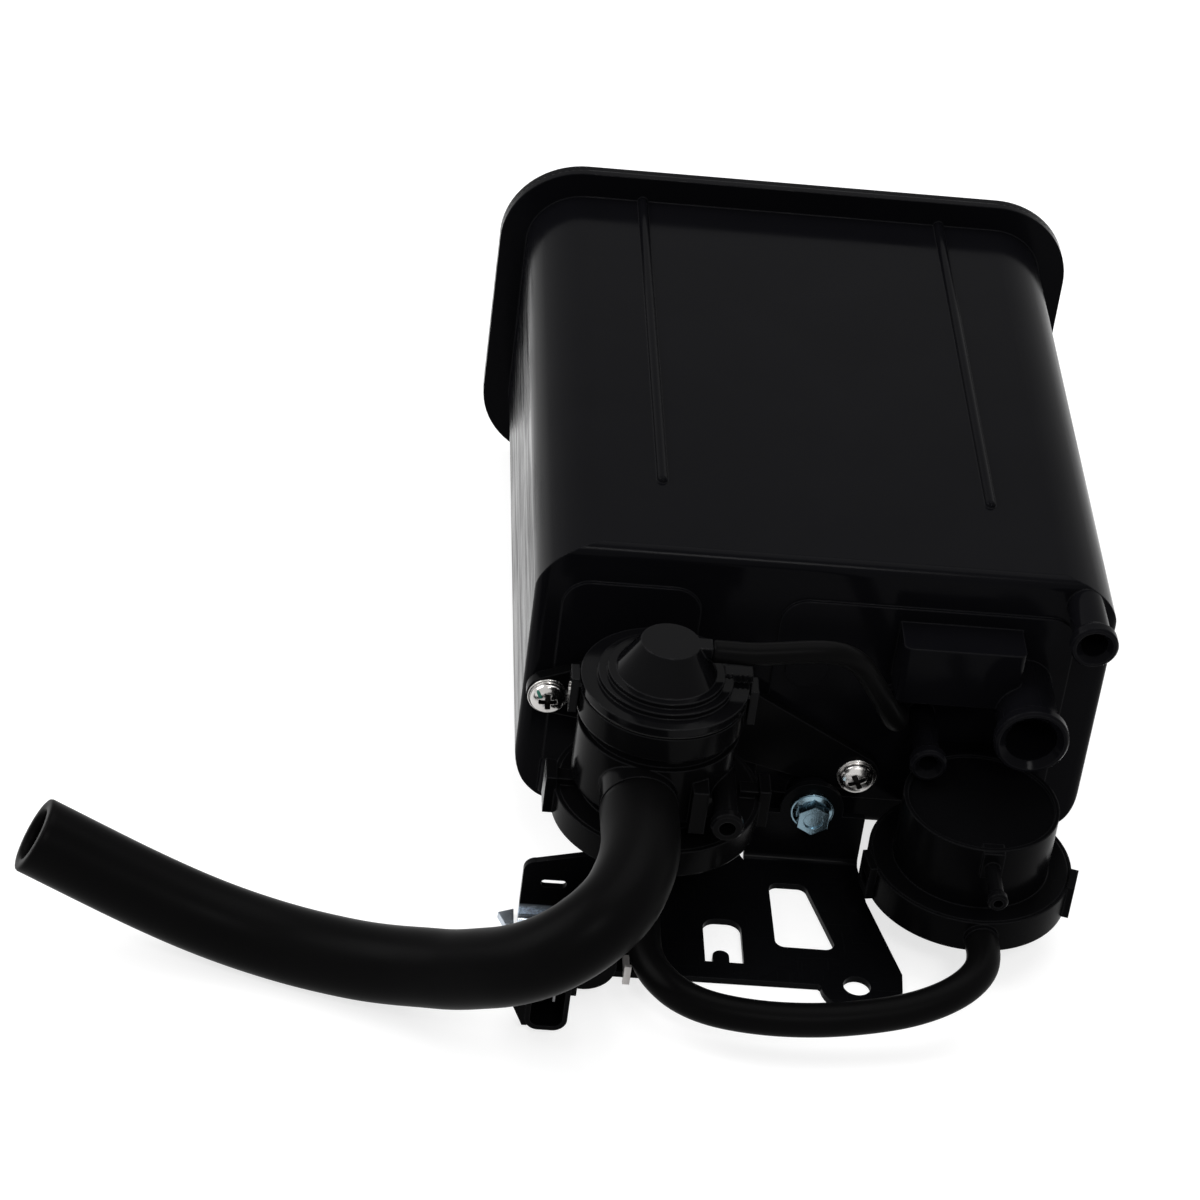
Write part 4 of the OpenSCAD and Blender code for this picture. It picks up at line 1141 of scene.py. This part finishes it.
@dataclass(frozen=True)
class PanScrew:
    """A domed pan head cross screw with its washer, seated on the valve's mounting plate."""

    name: str
    place: tuple[float, float]
    recess_turn: float
    node: str = "valve_screws"
    slot: str = "screw_steel"
    seat_y: float = -5.2
    shank_r: float = 2.4
    shank_mm: float = 11.0
    point_r: float = 1.6
    point_mm: float = 0.6
    lead_r: float = 2.3
    lead_mm: float = 0.8
    washer_r: float = 6.6
    washer_h: float = 1.0
    corner_mm: float = 0.15
    foot_mm: float = 0.1
    head_r: float = 5.7
    side_h: float = 2.0
    head_h: float = 4.38
    arm_half: float = 0.74
    arm_reach: float = 2.9
    recess_mm: float = 1.7
    soft_mm: float = 0.16
    sides: int = 96
    cuts: int = 32
    tip_r: float = 0.1

    def dome(self, r: float) -> float:
        """Height of the head's dome at a radius.

        Args:
            r: Distance from the screw's axis in millimetres.

        Returns:
            Height above the seat in millimetres.
        """
        share = min(1.0, r / self.head_r)
        return self.side_h + (self.head_h - self.side_h) * math.sqrt(1.0 - share * share)

    def recess(self, x: float, z: float) -> float:
        """Depth of the cross recess at a place on the head.

        Args:
            x: Distance to the right of the axis in millimetres.
            z: Distance above the axis in millimetres.

        Returns:
            Depth below the dome in millimetres.
        """
        turn = math.radians(self.recess_turn)
        u = x * math.cos(turn) + z * math.sin(turn)
        v = z * math.cos(turn) - x * math.sin(turn)
        arms = [
            self._inside(self.arm_half - abs(aside)) * self._inside(self.arm_reach - abs(along))
            for along, aside in ((u, v), (v, u))
        ]
        return max(arms) * self.recess_mm

    def _inside(self, room: float) -> float:
        """Fades from 0 outside a wall to 1 inside it."""
        return min(1.0, max(0.0, room / self.soft_mm + 0.5))

    def sunk(self, spot: Vector) -> bool:
        """Tells whether a place on the head lies inside the recess.

        Args:
            spot: The place in metres in the shared frame.

        Returns:
            True where it lies well below the dome.
        """
        local = spot / MM - SET_DOWN
        r = math.hypot(local.x - self.place[0], local.z - self.place[1])
        height = self.seat_y - local.y
        return r < self.arm_reach + self.soft_mm and 0.0 < height < self.dome(r) - self.recess_mm / 3

    def at(self, x: float, z: float, height: float) -> Vector:
        """Place of a point of the screw in the shared frame.

        Args:
            x: Distance to the right of the axis in millimetres.
            z: Distance above the axis in millimetres.
            height: Height above the seat in millimetres.

        Returns:
            The place in metres.
        """
        return row((self.place[0] + x, self.seat_y - height, self.place[1] + z))

    def build(self) -> bpy.types.Object:
        """Turns the shank, washer and head, and sinks the cross recess.

        Returns:
            The new object, linked to the scene.
        """
        edge_r = self.washer_r - self.corner_mm
        profile = [
            (self.point_r, -self.shank_mm), (self.lead_r, self.point_mm - self.shank_mm),
            (self.shank_r, self.lead_mm - self.shank_mm), (self.shank_r, 0.0), (edge_r, 0.0),
            (self.washer_r, self.corner_mm), (self.washer_r, self.washer_h - self.corner_mm),
            (edge_r, self.washer_h), (self.head_r + self.foot_mm, self.washer_h),
            (self.head_r, self.washer_h + self.foot_mm), (self.head_r, self.side_h),
        ]
        for i in range(1, self.cuts + 1):
            r = self.head_r + (self.tip_r - self.head_r) * math.sin(math.pi * i / self.cuts / 2)
            profile.append((r, self.dome(r)))
        turns = circle(self.sides)
        hoops = []
        for r, height in profile:
            spots = [(r * math.cos(angle), r * math.sin(angle)) for angle in turns]
            on_dome = height > self.side_h
            hoops.append([self.at(x, z, height - (self.recess(x, z) if on_dome else 0.0)) for x, z in spots])
        return loft(self.name, hoops, looped=False)

    def install(self, wardrobe: Wardrobe) -> list[bpy.types.Object]:
        """Builds, dresses and seats the screw in place of its solid.

        Args:
            wardrobe: Where the finishes come from.

        Returns:
            The new object, in a list.
        """
        made = self.build()
        smooth_by_angle(made, SOLID_CREASE)
        wardrobe.dress(made, SCREW_PLATE)
        # Painted shade on the faces deep in the cross recess
        wardrobe.patch(made, RECESS_SHADE, self.sunk)
        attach(made, CARRIER)
        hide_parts(self.node)
        return [made]


@dataclass(frozen=True)
class PaintMark:
    """A stroke of green paint across the dome of a tightened screw."""

    screw: PanScrew
    start: tuple[float, float]
    end: tuple[float, float]
    width_mm: float = 1.15
    thick_mm: float = 0.06
    sunk_mm: float = 0.12
    tip_share: float = 0.25
    cuts: int = 14

    def build(self) -> bpy.types.Object:
        """Lays a thin stroke that follows the dome and narrows at its ends.

        Returns:
            The new object, linked to the scene.
        """
        along = Vector(self.end) - Vector(self.start)
        across = Vector((-along.y, along.x)).normalized()
        hoops = []
        for i in range(self.cuts + 1):
            share = i / self.cuts
            middle = Vector(self.start) + along * share
            half = self.width_mm / 2 * max(self.tip_share, math.sqrt(1.0 - (2 * share - 1) ** 4))
            spots = [middle + across * half * k / 2 for k in range(-2, 3)]
            heights = [self.screw.dome(spot.length) for spot in spots]
            top = [self.screw.at(s.x, s.y, h + self.thick_mm) for s, h in zip(spots, heights)]
            under = [self.screw.at(s.x, s.y, h - self.sunk_mm) for s, h in zip(spots, heights)]
            hoops.append(top + under[::-1])
        return loft(f"{self.screw.name}_mark", hoops, looped=False)

    def install(self, wardrobe: Wardrobe) -> list[bpy.types.Object]:
        """Builds, dresses and seats the mark.

        Args:
            wardrobe: Where the finish comes from.

        Returns:
            The new object, in a list.
        """
        made = self.build()
        smooth_by_angle(made, MARK_CREASE)
        wardrobe.dress(made, MARK_GREEN)
        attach(made, CARRIER)
        return [made]


LEFT_SCREW = PanScrew("left_pan_screw", (-87.3, 48.8), 4.0)
RIGHT_SCREW = PanScrew("right_pan_screw", (17.9, 24.8), 28.0)
LEFT_MARK = PaintMark(LEFT_SCREW, (-3.7, 3.7), (-2.4, 1.3))
VALVE_SPRING = Spring(
    "valve_spring_wire", "valve_spring", "pressure_lift", (-54, -37, 95.4), (0, 0, -1), 5.0, 0.6, 14.3, 4
)
PLUNGER_SPRING = Spring(
    "plunger_spring_wire", "plunger_spring", "plunger_pull", (-72, -75, 3), (0, 1, 0), 1.8, 0.35, 10.0, 6
)


@dataclass(frozen=True)
class Lamp:
    """One soft square lamp, by its place and side in metres and its power."""

    name: str
    place: Point
    side: float
    watts: float

    def hang(self, target: Point) -> None:
        """Hangs the lamp and points it.

        Args:
            target: What it points at, in metres in the shared frame.
        """
        data = bpy.data.lights.new(self.name, "AREA")
        data.size = self.side
        data.energy = self.watts
        made = bpy.data.objects.new(self.name, data)
        bpy.context.scene.collection.objects.link(made)
        made.location = self.place
        made.rotation_euler = (Vector(target) - Vector(self.place)).to_track_quat("-Z", "Y").to_euler()


@dataclass(frozen=True)
class Studio:
    """Camera, floor, background and soft light."""

    azimuth: float = -0.106337
    elevation: float = 0.617358
    roll: float = 0.135321
    eye_mm: Point = (-185.8, -1047.9, 832.5)
    lens: float = 120.518
    sensor: float = 36.0
    clip_near: float = 0.05
    clip_far: float = 50.0
    floor_half: float = 6.0
    floor_tone: Rgb = (0.8, 0.8, 0.8)
    seen_floor_tone: Rgb = (0.42, 0.42, 0.42)
    seen_floor_glow: float = 0.72
    room_light: float = 0.55
    white: Rgb = (1.0, 1.0, 1.0)
    middle: Point = (0.0, 0.1, 0.06)
    lamps: tuple[Lamp, ...] = (
        Lamp("left_softbox", (-1.5, 0.2, 1.3), 1.2, 22.0),
        Lamp("top_softbox", (0.3, 0.5, 1.9), 1.4, 16.0),
        Lamp("front_window", (0.15, -1.3, 1.5), 0.35, 8.0),
    )

    def camera(self) -> None:
        """Sets the camera at the photograph's view."""
        az, el = self.azimuth, self.elevation
        back = Vector((math.sin(az) * math.cos(el), -math.cos(az) * math.cos(el), math.sin(el)))
        right = (-back).cross(Vector((0.0, 0.0, 1.0))).normalized()
        up = right.cross(-back)
        across = right * math.cos(self.roll) + up * math.sin(self.roll)
        above = up * math.cos(self.roll) - right * math.sin(self.roll)
        data = bpy.data.cameras.new("photo_camera")
        data.lens = self.lens
        data.sensor_width = self.sensor
        data.clip_start = self.clip_near
        data.clip_end = self.clip_far
        made = bpy.data.objects.new("photo_camera", data)
        bpy.context.scene.collection.objects.link(made)
        turn = Matrix((across, above, back)).transposed().to_4x4()
        made.matrix_world = Matrix.Translation(row(self.eye_mm)) @ turn
        bpy.context.scene.camera = made

    def floor(self) -> None:
        """Lays a plain pale floor that shows white and keeps the shadow."""
        mesh = bpy.data.meshes.new("floor")
        h = self.floor_half
        mesh.from_pydata([(-h, -h, 0), (h, -h, 0), (h, h, 0), (-h, h, 0)], [], [(0, 1, 2, 3)])
        plane = bpy.data.objects.new("floor", mesh)
        bpy.context.scene.collection.objects.link(plane)
        pale = bpy.data.materials.new("pale_floor")
        pale.use_nodes = True
        kit, out = self._cleared(pale.node_tree, "ShaderNodeOutputMaterial")
        plain = kit.add("ShaderNodeBsdfDiffuse")
        kit.feed(self.floor_tone, plain.inputs["Color"])
        thin = kit.add("ShaderNodeBsdfDiffuse")
        kit.feed(self.seen_floor_tone, thin.inputs["Color"])
        glow = kit.set(kit.add("ShaderNodeEmission"), Strength=self.seen_floor_glow)
        seen = kit.add("ShaderNodeAddShader")
        kit.join(glow.outputs[0], seen.inputs[0])
        kit.join(thin.outputs[0], seen.inputs[1])
        self._picked(kit, plain, seen, out)
        mesh.materials.append(pale)

    @staticmethod
    def _cleared(tree: bpy.types.NodeTree, kind: str) -> tuple[NodeTree, bpy.types.Node]:
        """Empties a tree, apart from a new output.

        Args:
            tree: The tree of a material or world.
            kind: Blender's type of the output.

        Returns:
            The tree helper and the output node.
        """
        tree.nodes.clear()
        kit = NodeTree(tree)
        return kit, kit.add(kind)

    @staticmethod
    def _picked(kit: NodeTree, unseen: bpy.types.Node, seen: bpy.types.Node, out: bpy.types.Node) -> None:
        """Shows one shader to camera, glossy and transmission rays and another to the rest.

        Args:
            kit: The tree that the nodes go into.
            unseen: Shader that lights the part.
            seen: Shader that shows as the background.
            out: The tree's output node.
        """
        rays = kit.add("ShaderNodeLightPath").outputs
        direct = kit.math("MAXIMUM", rays["Is Camera Ray"], rays["Is Glossy Ray"])
        pick = kit.add("ShaderNodeMixShader")
        kit.join(kit.math("MAXIMUM", direct, rays["Is Transmission Ray"]), pick.inputs["Fac"])
        kit.join(unseen.outputs[0], pick.inputs[1])
        kit.join(seen.outputs[0], pick.inputs[2])
        kit.join(pick.outputs[0], out.inputs["Surface"])

    def world(self) -> None:
        """Fills the room with plain soft light on a white background."""
        sky = bpy.data.worlds.new("white_room")
        sky.use_nodes = True
        kit, out = self._cleared(sky.node_tree, "ShaderNodeOutputWorld")
        lights = []
        for strength in (self.room_light, 1.0):
            light = kit.set(kit.add("ShaderNodeBackground"), Strength=strength)
            kit.feed(self.white, light.inputs["Color"])
            lights.append(light)
        self._picked(kit, *lights, out)
        bpy.context.scene.world = sky

    def set_up(self) -> None:
        """Makes the camera, floor, background and lamps."""
        self.camera()
        self.floor()
        self.world()
        for lamp in self.lamps:
            lamp.hang(self.middle)
        bpy.context.scene.view_settings.view_transform = "Standard"


def smooth_by_angle(thing: bpy.types.Object, degrees: float) -> None:
    """Smooths a solid's shading, but keeps its sharp edges.

    Args:
        thing: The object.
        degrees: Edges that turn further than this stay sharp.
    """
    mesh = thing.data
    mesh.shade_smooth()
    mesh.set_sharp_from_angle(angle=math.radians(degrees))


def dress_solids(nodes: dict[str, bpy.types.Object], wardrobe: Wardrobe) -> None:
    """Gives every solid of the drawing its finish.

    Args:
        nodes: The frame's nodes by name.
        wardrobe: Where the finishes come from.
    """
    for name, thing in nodes.items():
        wardrobe.dress(thing, NODE_FINISH[name])
        smooth_by_angle(thing, SOLID_CREASE)
        LOG.info("%s wears %s", name, NODE_FINISH[name].name)


def main() -> None:
    """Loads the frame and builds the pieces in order."""
    logging.basicConfig(level=logging.INFO, format="%(message)s")
    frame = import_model()
    Studio().set_up()
    wardrobe = Wardrobe(EffectLibrary())
    works = (VALVE_SPRING, PLUNGER_SPRING, Diaphragm())
    fixings = (LEFT_SCREW, RIGHT_SCREW, LEFT_MARK)
    for assembly in (HoseSet(), *works, *fixings):
        for piece in assembly.install(wardrobe):
            LOG.info("%s has %d faces", piece.name, len(piece.data.polygons))
    dress_solids(frame["nodes"], wardrobe)


if __name__ == "__main__":
    main()
